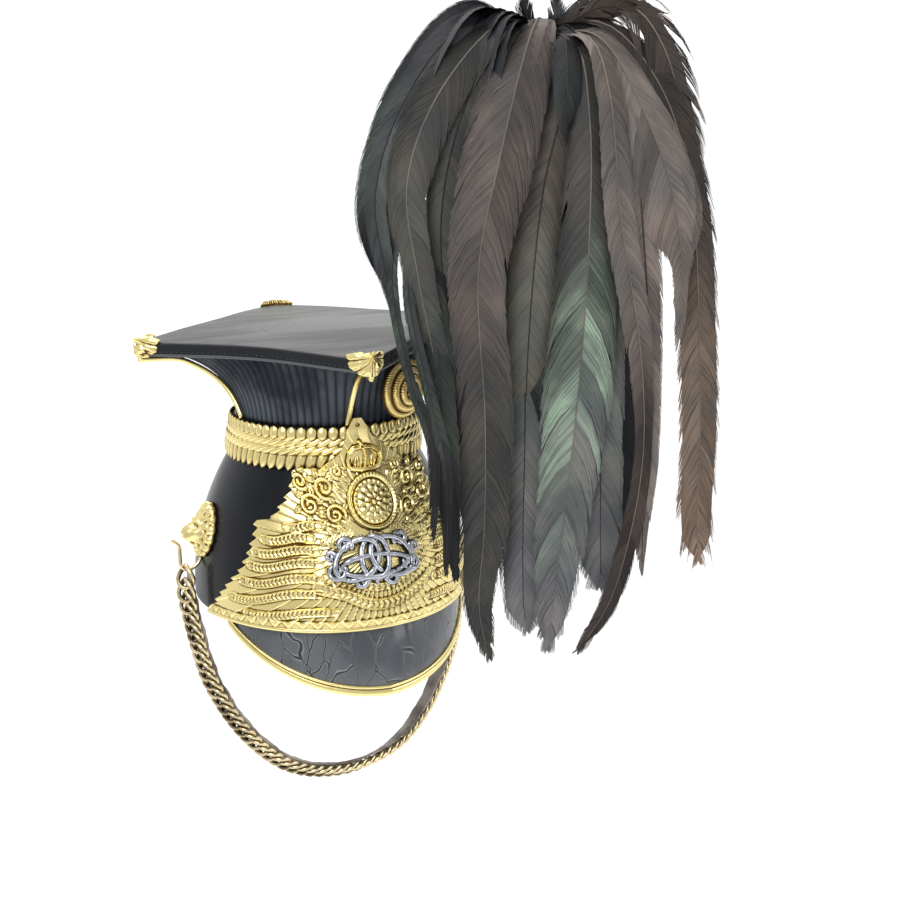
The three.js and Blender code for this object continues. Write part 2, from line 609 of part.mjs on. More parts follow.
// Plume: cock's feathers that spring from a bound head, arch over and hang. A stop is right, up and front of
// the head, seen from the front right of the cap, and half the blade's width there.
const PLUME_FRONT = point(-0.4313, -0.9022, 0);
const PLUME_RIGHT = point(0.9022, -0.4313, 0);
const FEATHERS = [
  { name: 'outer_left', facing: -35, stops: [
    [0, 5, 0, 2], [-45, 11, 13, 9], [-82, -30, 20, 10], [-101, -80, 24, 10], [-104, -108, 27, 8],
    [-97, -139, 30, 2],
  ] },
  { name: 'left_blue', facing: -25, stops: [
    [0, 1, 0, 2], [-47, 2, 24, 9], [-82, -42, 36, 9], [-97, -90, 40, 7.5], [-94, -125, 43, 6.5],
    [-86, -165, 46, 2.5],
  ] },
  { name: 'left_broad', facing: -15, stops: [
    [0, 3, 0, 2], [-21, 6, 18, 8.5], [-60, -34, 42, 15.5], [-79, -83, 50, 13.5], [-74, -135, 54, 10],
    [-65, -190, 57, 9.5], [-60, -245, 57, 8], [-58, -314, 56, 2.5],
  ] },
  { name: 'left_inner', facing: -10, stops: [
    [0, -1, 0, 2], [-18, 1, 18, 7], [-45, -43, 42, 11], [-58, -100, 47, 9], [-58, -165, 48, 7.5],
    [-52, -225, 48, 8], [-49, -292, 48, 2.5],
  ] },
  { name: 'front_broad', facing: 0, stops: [
    [0, 6, 0, 2], [5, 6, 8, 8.5], [-7, -11, 30, 15.5], [-27, -70, 60, 20.5], [-40, -130, 64, 17.5],
    [-38, -217, 61, 16.5], [-40, -285, 60, 15], [-44, -338, 58, 8.5], [-40, -366, 58, 2.5],
  ] },
  { name: 'front_short', facing: 10, stops: [
    [0, -2, 0, 2], [13, -4, 20, 8.5], [16, -22, 30, 10], [9, -65, 36, 8.5], [6, -106, 36, 4.5],
  ] },
  { name: 'front_brown', facing: 5, stops: [
    [0, -3, 0, 2], [11, -11, 20, 9], [13, -36, 32, 11.5], [0, -90, 42, 14.5], [-11, -165, 46, 14.5],
    [-10, -235, 46, 9.5], [-8, -269, 46, 3],
  ] },
  { name: 'front_green', facing: 0, stops: [
    [0, 0, 0, 2], [19, -7, 24, 6], [25, -50, 42, 11], [20, -120, 52, 17], [11, -205, 56, 19],
    [3, -280, 57, 14.5], [0, -330, 57, 10.5], [-4, -363, 57, 2],
  ] },
  { name: 'front_slate', facing: -5, stops: [
    [0, -7, 0, 2], [2, -27, 20, 6], [-13, -128, 40, 9.5], [-17, -230, 46, 9.5], [-21, -310, 47, 12],
    [-17, -341, 47, 8.5], [-13, -350, 47, 3],
  ] },
  { name: 'front_round', facing: 5, stops: [
    [0, -5, 0, 2], [23, -8, 20, 6], [31, -95, 38, 11.5], [31, -210, 44, 14], [30, -290, 45, 14],
    [30, -317, 45, 12], [29, -327, 45, 6],
  ] },
  { name: 'right_sweep', facing: 10, stops: [
    [0, 2, 0, 2], [27, -4, 26, 5], [36, -35, 43, 8], [41, -105, 52, 10], [52, -180, 54, 8.5],
    [54, -240, 54, 5.5], [46, -293, 54, 7], [33, -335, 54, 6.5], [13, -365, 54, 2.5],
  ] },
  { name: 'right_pale', facing: 20, stops: [
    [0, 1, 0, 2], [31, -3, 20, 6], [56, -48, 40, 16], [71, -90, 46, 21], [76, -116, 46, 19.5],
    [77, -131, 46, 8], [76, -176, 46, 2.5],
  ] },
  { name: 'right_column', facing: 15, stops: [
    [0, -2, 0, 2], [32, -6, 22, 5.5], [48, -55, 40, 9], [55, -120, 48, 11], [59, -190, 50, 8],
    [59, -246, 50, 5.5], [54, -290, 50, 4.5], [54, -319, 50, 1.5],
  ] },
  { name: 'right_top', facing: 25, stops: [
    [0, 7, 0, 2], [29, 11, 4, 5], [52, 9, 6, 9], [68, -22, 12, 15], [78, -54, 16, 15.5],
    [83, -77, 18, 10.5], [87, -97, 18, 4],
  ] },
  { name: 'far_right', facing: 20, stops: [
    [0, 4, 0, 2], [34, 1, 10, 4], [66, -40, 21, 7.5], [82, -100, 29, 13], [86, -170, 33, 14.5],
    [91, -230, 34, 14.5], [90, -285, 34, 12], [91, -317, 34, 11],
  ] },
  { name: 'right_gap', facing: 10, stops: [
    [0, -6, 0, 2], [31, -8, 12, 5.5], [43, -80, 22, 9.5], [45, -170, 24, 12], [46, -240, 24, 12],
    [45, -305, 24, 4],
  ] },
  { name: 'strand_a', facing: -20, stops: [
    [0, -3, 0, 2], [-36, -16, 20, 2.5], [-75, -75, 31, 3], [-89, -130, 46, 3.5], [-80, -190, 68, 3.5],
    [-68, -232, 70, 4], [-70, -288, 70, 1.5],
  ] },
  { name: 'strand_b', facing: -10, stops: [
    [0, -5, 0, 2], [-31, -16, 20, 2.5], [-69, -80, 33, 3], [-80, -140, 52, 3.5], [-70, -197, 70, 4],
    [-61, -245, 72, 4], [-63, -309, 72, 1.5],
  ] },
  { name: 'left_low', facing: -5, stops: [
    [0, -9, 0, 2], [-36, -32, 22, 4.5], [-65, -115, 42, 7.5], [-63, -193, 60, 8.5], [-61, -255, 62, 8],
    [-57, -315, 62, 2],
  ] },
];

// The feathers behind them arch out of the head all round. A heading is measured from +X towards +Y.
const ARCH = { crest: 0.45, knee: 1.03, kneeDrop: 0.52 };
const ARCH_COLUMNS = ['heading', 'reach', 'rise', 'drop', 'tipReach', 'tipDrop', 'half'];
const ARCHES = [
  [4, 74, 12, 100, 66, 250, 17],
  [26, 84, 10, 104, 82, 320, 18],
  [46, 86, 8, 100, 86, 290, 18],
  [66, 78, 9, 80, 80, 240, 18],
  [88, 74, 8, 74, 80, 150, 18],
  [112, 72, 8, 68, 82, 150, 19],
  [134, 80, 10, 66, 90, 138, 18],
  [156, 90, 12, 70, 100, 138, 16],
].map((row) => Object.fromEntries(row.map((value, i) => [ARCH_COLUMNS[i], value])));
const headCentre = point(PLUME_HEAD.x, PLUME_HEAD.y, PLUME_HEAD.z);

function frontStops({ facing, stops }) {
  const angle = degToRad(facing);
  return {
    out: PLUME_FRONT.clone().multiplyScalar(Math.cos(angle)).addScaledVector(PLUME_RIGHT, Math.sin(angle)),
    stops: stops.map(([right, up, front, half]) => ({
      place: headCentre.clone()
        .addScaledVector(PLUME_RIGHT, right)
        .addScaledVector(PLUME_FRONT, front)
        .add(point(0, 0, up)),
      half,
    })),
  };
}

// An arched feather is narrow at the quill, full along its middle and round at the tip
const ARCH_STATIONS = [
  { share: 0, full: 0.1 },
  { share: 0.1, full: 0.4 },
  { share: 0.2, full: 0.64 },
  { share: 0.4, full: 0.96 },
  { share: 0.64, full: 1 },
  { share: 0.86, full: 0.8 },
  { share: 1, full: 0.15 },
];

function archStops(row) {
  const out = point(Math.cos(degToRad(row.heading)), Math.sin(degToRad(row.heading)), 0);
  const reachTo = (reach, up) => headCentre.clone().addScaledVector(out, reach).add(point(0, 0, up));
  const route = new THREE.CatmullRomCurve3([
    headCentre.clone(),
    reachTo(ARCH.crest * row.reach, row.rise),
    reachTo(row.reach, -row.drop),
    reachTo(ARCH.knee * lerp(row.reach, row.tipReach, 0.5), -lerp(row.drop, row.tipDrop, ARCH.kneeDrop)),
    reachTo(row.tipReach, -row.tipDrop),
  ]);
  return {
    out,
    stops: ARCH_STATIONS.map(({ share, full }) => ({ place: route.getPointAt(share), half: row.half * full })),
  };
}

// A feather is a thin blade through its stops. It lies flat on the head and then turns its face outwards.
function featherGeometry({ out, stops }) {
  const last = stops.length - 1;
  return skin(stops.map(({ place, half }, i) => {
    const along = stops[Math.min(i + 1, last)].place.clone().sub(stops[Math.max(i - 1, 0)].place).normalize();
    const away = smoothstep(i / last, 0, FEATHER_TURN);
    const faced = out.clone().multiplyScalar(away).add(point(0, 0, 1 + FEATHER_LEVEL - away));
    const wide = faced.cross(along).normalize();
    const face = wide.clone().cross(along);
    const thick = FEATHER_THICK / 2 * clamp(half / FEATHER_FULL, 0.5, 1);
    return [
      place.clone().addScaledVector(wide, half),
      place.clone().addScaledVector(face, thick),
      place.clone().addScaledVector(wide, -half),
      place.clone().addScaledVector(face, -thick),
    ];
  }));
}

function plumeGeometry() {
  const ball = new THREE.SphereGeometry(PLUME_HEAD.radius, 10, 6);
  ball.rotateX(QUARTER_TURN);
  ball.rotateZ(degToRad(PLUME_HEAD.turn));
  ball.scale(1, 1, PLUME_HEAD.halfHeight / PLUME_HEAD.radius);
  ball.translate(PLUME_HEAD.x, PLUME_HEAD.y, PLUME_HEAD.z);
  const head = solidOf(mergedByPosition(ball));
  const feathers = [...FEATHERS.map(frontStops), ...ARCHES.map(archStops)];
  const whole = feathers.reduce((sum, row) => sum.add(solidOf(featherGeometry(row))), head);
  const outerSkins = whole.decompose().filter((body) => body.volume() > 0);
  outerSkins.sort((a, b) => b.volume() - a.volume());
  return geometryOf(outerSkins[0].simplify(FEATHER_MERGE));
}

// Assembly
const cap = new THREE.Group();

function addPiece(parent, name, geometry, finish) {
  const mesh = new THREE.Mesh(geometry, new THREE.MeshStandardMaterial(finish));
  mesh.name = name;
  parent.add(mesh);
  return mesh;
}

addPiece(cap, 'skull', skullGeometry(), PATENT);
addPiece(cap, 'cloth_body', clothGeometry(), CLOTH);
addPiece(cap, 'square_top', topGeometry(), TOP_HIDE);
addPiece(cap, 'waist_band', bandGeometry(), GILT);
addPiece(cap, 'front_plate', plateGeometry(), GILT);
addPiece(cap, 'plate_knot', knotGeometry(), SILVER);
addPiece(cap, 'peak', peakGeometry(), PATENT);
addPiece(cap, 'peak_binding', bindingGeometry(), GILT);
for (const [hand, side] of [['left', 1], ['right', -1]]) {
  addPiece(cap, `lion_boss_${hand}`, lionGeometry(side), GILT);
  addPiece(cap, `chain_hook_${hand}`, hookGeometry(side), OLD_BRASS);
}
addPiece(cap, 'chin_chain', chainGeometry(), OLD_BRASS);
addPiece(cap, 'chain_velvet', strapGeometry(), VELVET);
for (const [corner, place] of ['front', 'left', 'back', 'right'].entries()) {
  addPiece(cap, `corner_leaf_${place}`, ornamentGeometry(corner), GILT);
  addPiece(cap, `corner_wire_${place}`, wireGeometry(corner), GILT);
}
const rosetteGroup = new THREE.Group();
rosetteGroup.position.copy(rosetteSeat);
rosetteGroup.quaternion.setFromUnitVectors(point(0, 1, 0), rosetteOut);
addPiece(rosetteGroup, 'rosette', rosetteGeometry(), GILT);
cap.add(rosetteGroup);
addPiece(cap, 'plume_stem', stemGeometry(), OLD_BRASS);
addPiece(cap, 'plume', plumeGeometry(), FEATHER);

export default cap;
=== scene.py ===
"""The looks of a lancer's cap: patent skull, fluted cloth, square top, gilt mounts, chin chain and plume.

Sizes are in millimetres in the cap's own frame and become metres when a mesh is made.
The front is towards -Y and the wearer's left towards +X.
A turn is measured from the front towards the wearer's left.
"""

import bpy
import numpy as np
from mathutils import Matrix, Vector


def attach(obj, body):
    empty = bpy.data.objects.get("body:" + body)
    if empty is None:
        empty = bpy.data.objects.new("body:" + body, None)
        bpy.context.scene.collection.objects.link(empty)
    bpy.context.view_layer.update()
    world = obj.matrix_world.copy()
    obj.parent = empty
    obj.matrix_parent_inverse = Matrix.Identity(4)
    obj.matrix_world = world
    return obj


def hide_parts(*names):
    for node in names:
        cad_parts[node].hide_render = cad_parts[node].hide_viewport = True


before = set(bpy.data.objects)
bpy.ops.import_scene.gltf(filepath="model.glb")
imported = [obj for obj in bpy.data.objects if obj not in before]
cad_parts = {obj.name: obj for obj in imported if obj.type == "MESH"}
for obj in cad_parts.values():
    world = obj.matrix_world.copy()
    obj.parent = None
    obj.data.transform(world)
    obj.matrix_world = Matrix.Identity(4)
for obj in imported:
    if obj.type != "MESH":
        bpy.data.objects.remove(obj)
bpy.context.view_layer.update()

# Skull: the bell-shaped body of the cap, one shell of black patent leather blocked to an oval rim.
# The other pieces are fixed to it. Its outer form is an ellipse at the rim, the waist and the neck.
MM = 0.001
RIM = {"half_width": 84.7, "half_length": 98.3}
WAIST = {"half_width": 59.9, "half_length": 66.5, "z": 94.3, "centre_y": -5.9}
NECK = {"half_width": 56.3, "half_length": 63.9, "z": 120.5, "centre_y": -12.2}
TOP = {"half_diagonal": 112.9, "pinch": 0.05, "z": 172.2, "centre_y": -3.9, "lean": 0.0386, "droop": 2.0}
TOP_TWIST = np.radians(-4.9)
TOP_SKIRT = 8.5
TOP_LEATHER = 2.4
SEAT = 0.5
SKULL_BELL = 2.2
SKULL_WALL = 2.4
SKULL_TOP = 120.2
SKULL_MESH = {"around": 128, "outside": 46, "inside": 18, "rim": 6}
SKIRT_LOW = TOP["z"] - TOP_SKIRT
CLOTH_INSET = TOP_LEATHER + 2 * SEAT
TAU = 2 * np.pi


def lerp(start, end, share):
    return start + (end - start) * share


def ellipse_reach(turn, half_width, half_length):
    return half_width * half_length / np.hypot(half_length * np.sin(turn), half_width * np.cos(turn))


def square_reach(turn):
    """How far the edge of the square top is from its middle: straight sides that are pinched in."""
    t = turn - TOP_TWIST
    straight = TOP["half_diagonal"] / (np.abs(np.cos(t)) + np.abs(np.sin(t)))
    return straight * (1 - TOP["pinch"] * np.sin(2 * t) ** 2)


def cloth_sweep(z):
    s = np.clip((z - NECK["z"]) / (SKIRT_LOW - NECK["z"]), 0, 1)
    return 1 - np.sqrt(1 - s * s)


def form_reach(turn, z):
    """The cap's outer form: ellipses up to the neck, then a sweep out to the square of the top."""
    bell = 1 - np.clip(z / WAIST["z"], 0, 1) ** SKULL_BELL
    rise = np.clip((z - WAIST["z"]) / (NECK["z"] - WAIST["z"]), 0, 1)
    half_width = lerp(WAIST["half_width"], RIM["half_width"], bell)
    half_length = lerp(WAIST["half_length"], RIM["half_length"], bell)
    half_width = half_width + rise * (NECK["half_width"] - WAIST["half_width"])
    half_length = half_length + rise * (NECK["half_length"] - WAIST["half_length"])
    oval = ellipse_reach(turn, half_width, half_length)
    return lerp(oval, square_reach(turn) - CLOTH_INSET, cloth_sweep(z))


def form_centre(z):
    below = WAIST["centre_y"] * np.clip(z / WAIST["z"], 0, 1)
    rise = np.clip((z - WAIST["z"]) / (NECK["z"] - WAIST["z"]), 0, 1)
    return lerp(below + rise * (NECK["centre_y"] - WAIST["centre_y"]), TOP["centre_y"], cloth_sweep(z))


def form_point(turn, z, out=0.0):
    turn, z, out = np.broadcast_arrays(np.asarray(turn, float), np.asarray(z, float), np.asarray(out, float))
    reach = form_reach(turn, z) + out
    y = form_centre(z) - reach * np.cos(turn)
    lean = cloth_sweep(z) * TOP["lean"] * (y - TOP["centre_y"])
    return np.stack([reach * np.sin(turn), y, z + lean], -1)


def circle(count):
    return TAU * np.arange(count) / count


def turns_around(count):
    return TOP_TWIST + circle(count)


def grid_faces(rows, columns, rows_loop=False, columns_loop=False):
    r = np.arange(rows if rows_loop else rows - 1)[:, None]
    c = np.arange(columns if columns_loop else columns - 1)[None, :]
    next_r, next_c = (r + 1) % rows, (c + 1) % columns
    corners = [r * columns + c, r * columns + next_c, next_r * columns + next_c, next_r * columns + c]
    return np.stack(np.broadcast_arrays(*corners), -1).reshape(-1, 4)


def skin(rings, loop=False):
    """A closed skin over rings of points: the last ring meets the first, or both ends are capped."""
    rings = np.asarray(rings, float)
    rows, columns = rings.shape[:2]
    points = rings.reshape(-1, 3)
    quads = grid_faces(rows, columns, loop, True)
    if loop:
        return points, [quads]
    hubs = np.stack([rings[0].mean(0), rings[-1].mean(0)])
    start, end = rows * columns, rows * columns + 1
    i = np.arange(columns)
    j = (i + 1) % columns
    low = np.stack([np.full(columns, start), j, i], -1)
    high = np.stack([np.full(columns, end), i + start - columns, j + start - columns], -1)
    return np.vstack([points, hubs]), [quads, np.vstack([low, high])]


def enclosed_volume(points, faces):
    total = 0.0
    for group in faces:
        a = points[group[:, 0]]
        for k in range(1, group.shape[1] - 1):
            total += np.einsum("ij,ij->", a, np.cross(points[group[:, k]], points[group[:, k + 1]]))
    return total


def make(name, shape, finish, closed=True, sharp=None, values=None):
    """An object from points in millimetres and groups of faces, its faces turned outwards."""
    points, faces = shape
    if closed and enclosed_volume(points, faces) < 0:
        faces = [group[:, ::-1] for group in faces]
    mesh = bpy.data.meshes.new(name)
    sizes = np.concatenate([np.full(len(group), group.shape[1]) for group in faces])
    corners = np.concatenate([group.ravel() for group in faces]).astype(np.int32)
    mesh.vertices.add(len(points))
    mesh.vertices.foreach_set("co", (points * MM).astype(np.float32).ravel())
    mesh.loops.add(len(corners))
    mesh.loops.foreach_set("vertex_index", corners)
    mesh.polygons.add(len(sizes))
    mesh.polygons.foreach_set("loop_start", (np.cumsum(sizes) - sizes).astype(np.int32))
    for key, value in (values or {}).items():
        value = np.asarray(value, np.float32)
        kind = "FLOAT" if value.ndim == 1 else "FLOAT_COLOR" if value.shape[1] == 4 else "FLOAT_VECTOR"
        field = {"FLOAT": "value", "FLOAT_COLOR": "color", "FLOAT_VECTOR": "vector"}[kind]
        mesh.attributes.new(key, kind, "POINT").data.foreach_set(field, value.ravel())
    mesh.update(calc_edges=True)
    mesh.shade_smooth()
    if sharp:
        mesh.set_sharp_from_angle(angle=np.radians(sharp))
    if finish:
        mesh.materials.append(finish)
    piece = bpy.data.objects.new(name, mesh)
    bpy.context.scene.collection.objects.link(piece)
    return piece


def dress(piece, slot, *nodes):
    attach(piece, "root")
    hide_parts(*nodes)


def add(tree, kind, inputs=None, **settings):
    """A node with its settings, whose inputs are linked sockets or plain values."""
    node = tree.nodes.new(kind)
    for key, value in settings.items():
        setattr(node, key, value)
    for key, value in (inputs or {}).items():
        if isinstance(value, bpy.types.NodeSocket):
            tree.links.new(value, node.inputs[key])
        else:
            node.inputs[key].default_value = value
    return node


def mixed(tree, share, first, second, blend="MIX"):
    """A colour between two, where a mask says which."""
    inputs = {0: share, 6: first, 7: second}
    return add(tree, "ShaderNodeMix", inputs, data_type="RGBA", blend_type=blend).outputs[2]


def ranged(tree, value, low, high, to_low=0.0, to_high=1.0):
    inputs = {"Value": value, "From Min": low, "From Max": high, "To Min": to_low, "To Max": to_high}
    return add(tree, "ShaderNodeMapRange", inputs, interpolation_type="SMOOTHSTEP").outputs["Result"]


def vector_math(tree, operation, first, second):
    return add(tree, "ShaderNodeVectorMath", {0: first, 1: second}, operation=operation).outputs


def noise(tree, place, scale, detail):
    return add(tree, "ShaderNodeTexNoise", {"Vector": place, "Scale": scale, "Detail": detail}).outputs


def socket_label(key):
    return key.replace("_", " ").title().replace("Ior", "IOR")


def new_finish(name, **constants):
    """A material, its node tree and its shader, with the values that are the same all over it."""
    finish = bpy.data.materials.new(name)
    finish.use_nodes = True
    shader = finish.node_tree.nodes["Principled BSDF"]
    for key, value in constants.items():
        shader.inputs[socket_label(key)].default_value = value
    return finish, finish.node_tree, shader


def feed(tree, shader, **sockets):
    """Links the values that change over a surface to its shader."""
    for key, socket in sockets.items():
        tree.links.new(socket, shader.inputs[socket_label(key)])


def new_group(name, inputs, outputs):
    """An empty shader group with named sockets."""
    tree = bpy.data.node_groups.new(name, "ShaderNodeTree")
    for label, value in inputs.items():
        kind = "NodeSocketColor" if isinstance(value, tuple) else "NodeSocketFloat"
        tree.interface.new_socket(label, in_out="INPUT", socket_type=kind).default_value = value
    for label, kind in outputs.items():
        tree.interface.new_socket(label, in_out="OUTPUT", socket_type=kind)
    return tree, tree.nodes.new("NodeGroupInput").outputs, tree.nodes.new("NodeGroupOutput").inputs


def place_group(tree, group, **values):
    node = add(tree, "ShaderNodeGroup", node_tree=group)
    for key, value in values.items():
        node.inputs[key.replace("_", " ").capitalize()].default_value = value
    return node.outputs


def bump_into(tree, shader, height, strength, distance):
    inputs = {"Height": height, "Strength": strength, "Distance": distance}
    feed(tree, shader, normal=add(tree, "ShaderNodeBump", inputs).outputs["Normal"])


# Broad patches and a fine grain in one group, each with its own scale: handling marks, dust and skin
mottle, mottle_in, mottle_out = new_group(
    "mottle",
    {"Patch scale": 20.0, "Grain scale": 600.0, "Stretch": 1.0},
    {"Patches": "NodeSocketFloat", "Grain": "NodeSocketFloat"},
)
object_place = add(mottle, "ShaderNodeTexCoord").outputs["Object"]
stretch = add(mottle, "ShaderNodeCombineXYZ", {0: 1.0, 1: mottle_in["Stretch"], 2: 1.0}).outputs[0]
stretched = vector_math(mottle, "MULTIPLY", object_place, stretch)[0]
patches = noise(mottle, stretched, mottle_in["Patch scale"], 4.0)["Fac"]
grain = noise(mottle, stretched, mottle_in["Grain scale"], 2.0)["Fac"]
mottle.links.new(ranged(mottle, patches, 0.35, 0.68), mottle_out["Patches"])
mottle.links.new(grain, mottle_out["Grain"])

PATENT_BLACK = (0.007, 0.008, 0.0115, 1)
PATENT_DUSTY = (0.012, 0.0135, 0.018, 1)

patent, tree, shader = new_finish("patent_leather", specular_ior_level=0.15)
marks = place_group(tree, mottle, patch_scale=14.0, grain_scale=900.0)
feed(tree, shader, base_color=mixed(tree, marks["Patches"], PATENT_BLACK, PATENT_DUSTY))
feed(tree, shader, roughness=ranged(tree, marks["Patches"], 0.0, 1.0, 0.22, 0.34))
bump_into(tree, shader, marks["Grain"], 0.06, 0.0004)

turns = turns_around(SKULL_MESH["around"])
edge_angles = np.radians(np.linspace(-20, -160, SKULL_MESH["rim"]))
edge_radius = SKULL_WALL / 2
outer_heights = np.linspace(edge_radius, SKULL_TOP, SKULL_MESH["outside"])
inner_heights = np.linspace(SKULL_TOP, edge_radius, SKULL_MESH["inside"])
rings = [form_point(turns, z) for z in outer_heights]
rings += [form_point(turns, z, -SKULL_WALL) for z in inner_heights]
rim_roll = zip(edge_radius * (1 + np.sin(edge_angles)), edge_radius * (np.cos(edge_angles) - 1))
rings += [form_point(turns, z, out) for z, out in list(rim_roll)[::-1]]
skull = make("skull_leather", skin(rings, loop=True), patent, sharp=50)
dress(skull, "patent_leather", "skull")

# Cloth body: dark blue melton sewn in upright flutes, which fan out from the neck to the corners of the top.
# It is a hollow wall that stands on the skull and goes up inside the lid.
RIBS_PER_FACE = 20
RIB_STEPS = 6
RIB_HEIGHT = 1.1
RIB_FULLNESS = 0.7
CLOTH_ROWS = 20
CLOTH_WALL = 2.0
GAP = 0.3
CLOTH_TUCK = {"inset": 1.2, "height": 30.0}
CLOTH_BLUE = (0.014, 0.0175, 0.025, 1)
CLOTH_FADED = (0.08, 0.092, 0.11, 1)


def ease(share):
    """A smooth step from 0 to 1."""
    t = np.clip(share, 0, 1)
    return t * t * (3 - 2 * t)


def multiplied(tree, first, second):
    return add(tree, "ShaderNodeMath", {0: first, 1: second}, operation="MULTIPLY").outputs[0]


def painted(tree, name):
    """A value that a mesh carries at its points."""
    return add(tree, "ShaderNodeAttribute", attribute_name=name).outputs


def top_point(turn, inset, depth):
    """A point on the lid, a given way in from its edge and down from its face."""
    reach = square_reach(turn) - inset
    y = TOP["centre_y"] - reach * np.cos(turn)
    corner = np.abs(np.cos(2 * (turn - TOP_TWIST))) ** 3
    droop = TOP["droop"] * corner * (reach / TOP["half_diagonal"]) ** 2
    z = TOP["z"] - depth - droop + TOP["lean"] * (y - TOP["centre_y"])
    return np.stack(np.broadcast_arrays(reach * np.sin(turn), y, z), -1)


melton, tree, shader = new_finish(
    "melton_cloth", roughness=0.95, sheen_weight=0.06, sheen_roughness=0.5, specular_ior_level=0.2)
marks = place_group(tree, mottle, patch_scale=30.0, grain_scale=2600.0)
worn = multiplied(tree, marks["Patches"], painted(tree, "crest")["Fac"])
feed(tree, shader, base_color=mixed(tree, worn, CLOTH_BLUE, CLOTH_FADED))
bump_into(tree, shader, marks["Grain"], 0.5, 0.0006)

turns = turns_around(RIBS_PER_FACE * 4 * RIB_STEPS)
rib_place = np.arange(len(turns)) / RIB_STEPS
crest = np.abs(np.cos(np.pi * (rib_place + 0.5))) ** RIB_FULLNESS
rib = RIB_HEIGHT * (crest - 1)
heights = lerp(SKULL_TOP + GAP, SKIRT_LOW, np.sin(np.linspace(0, np.pi / 2, CLOTH_ROWS)))
tuck = CLOTH_TUCK["inset"] * (ease((heights - heights[0]) / CLOTH_TUCK["height"]) - 1)
rings = [form_point(turns, z, rib + inset) for z, inset in zip(heights, tuck)]
rings.append(top_point(turns, CLOTH_INSET - rib, TOP_LEATHER + SEAT))
inner = CLOTH_WALL + RIB_HEIGHT
rings.append(top_point(turns, CLOTH_INSET + inner, TOP_LEATHER + SEAT))
rings += [form_point(turns, z, inset - inner) for z, inset in zip(heights[::-5], tuck[::-5])]
crests = np.tile(crest, len(rings))
cloth = make("fluted_cloth", skin(rings, loop=True), melton, values={"crest": crests})
dress(cloth, "cloth", "cloth_body")

# Square top: a lid of dark leather stretched over a board, with a skirt turned down and stitched all round.
# Its sides are pinched in and its corners droop a little. A pale piping edges the skirt.
# Its leather is painted paler from its front right side towards the back left, a painted reflection.
LID_MESH = {"around": 192, "face": 30, "round": 6, "skirt": 6, "bead": 9, "under": 8}
LID_ROUND = 1.5
PIPING = 0.95
STITCH = {"length": 2.6, "pitch": 3.6, "thick": 0.32, "above_edge": 3.0}
HEM_STEPS = 1440
LID_GREY = (0.022, 0.023, 0.022, 1)
LID_DARK = (0.012, 0.013, 0.013, 1)
LID_PAINTED_REFLECTION = (0.085, 0.086, 0.08, 1)
LID_REFLECTION_WAY = (0.77, 0.64, 0.0)
SKIRT_NAVY = (0.012, 0.0135, 0.017, 1)
PIPING_PALE = (0.07, 0.074, 0.08, 1)
THREAD_DARK = (0.012, 0.013, 0.016, 1)
THREAD_WORN = (0.03, 0.031, 0.033, 1)

lid_leather, tree, shader = new_finish("lid_leather")
marks = place_group(tree, mottle, patch_scale=9.0, grain_scale=1100.0, stretch=5.0)
piping = painted(tree, "piping")["Fac"]
skirt = painted(tree, "skirt")["Fac"]
hide = mixed(tree, marks["Patches"], LID_DARK, LID_GREY)
# Painted reflection: the leather is painted paler towards the back left
lid_place = add(tree, "ShaderNodeTexCoord").outputs["Object"]
toward_reflection = vector_math(tree, "DOT_PRODUCT", lid_place, LID_REFLECTION_WAY)["Value"]
hide = mixed(tree, ranged(tree, toward_reflection, -0.06, 0.06), hide, LID_PAINTED_REFLECTION)
hide = mixed(tree, skirt, hide, SKIRT_NAVY)
feed(tree, shader, specular_ior_level=ranged(tree, skirt, 0.0, 1.0, 0.5, 0.25))
feed(tree, shader, base_color=mixed(tree, piping, hide, PIPING_PALE))
feed(tree, shader, roughness=ranged(tree, marks["Patches"], 0.0, 1.0, 0.26, 0.42))
bump_into(tree, shader, marks["Grain"], 0.12, 0.0006)

turns = turns_around(LID_MESH["around"])
reach = square_reach(turns)
quarter = np.linspace(0, np.pi / 2, LID_MESH["round"])
steps = [(inset, 0.0) for inset in reach * np.linspace(0.99, 0.06, LID_MESH["face"])[:, None]]
steps += [(LID_ROUND * (1 - np.sin(a)), LID_ROUND * (1 - np.cos(a))) for a in quarter]
steps += [(0.0, depth) for depth in np.linspace(LID_ROUND + 0.8, TOP_SKIRT - 2.2 * PIPING, LID_MESH["skirt"])]
bead = np.linspace(np.radians(120), np.radians(-120), LID_MESH["bead"])
bead_steps = [(0.2 - PIPING * np.cos(a), TOP_SKIRT - PIPING - PIPING * np.sin(a)) for a in bead]
steps += bead_steps
steps += [(TOP_LEATHER, TOP_SKIRT - 0.2), (TOP_LEATHER, TOP_LEATHER)]
steps += [(inset, TOP_LEATHER) for inset in reach * np.linspace(0.08, 0.99, LID_MESH["under"])[:, None]]
rings = [top_point(turns, inset, depth) for inset, depth in steps]
piping_row = np.zeros(len(steps))
first_bead = len(steps) - LID_MESH["under"] - 2 - len(bead_steps)
piping_row[first_bead + 1:first_bead + len(bead_steps) - 1] = 1
skirt_row = np.zeros(len(steps))
skirt_row[LID_MESH["face"] + LID_MESH["round"] - 2:first_bead] = 1
lid_values = {"piping": piping_row, "skirt": skirt_row}
lid_values = {key: np.append(np.repeat(row, len(turns)), [0, 0]) for key, row in lid_values.items()}
lid = make("lid_leather", skin(rings), lid_leather, sharp=55, values=lid_values)
dress(lid, "top_leather", "square_top")

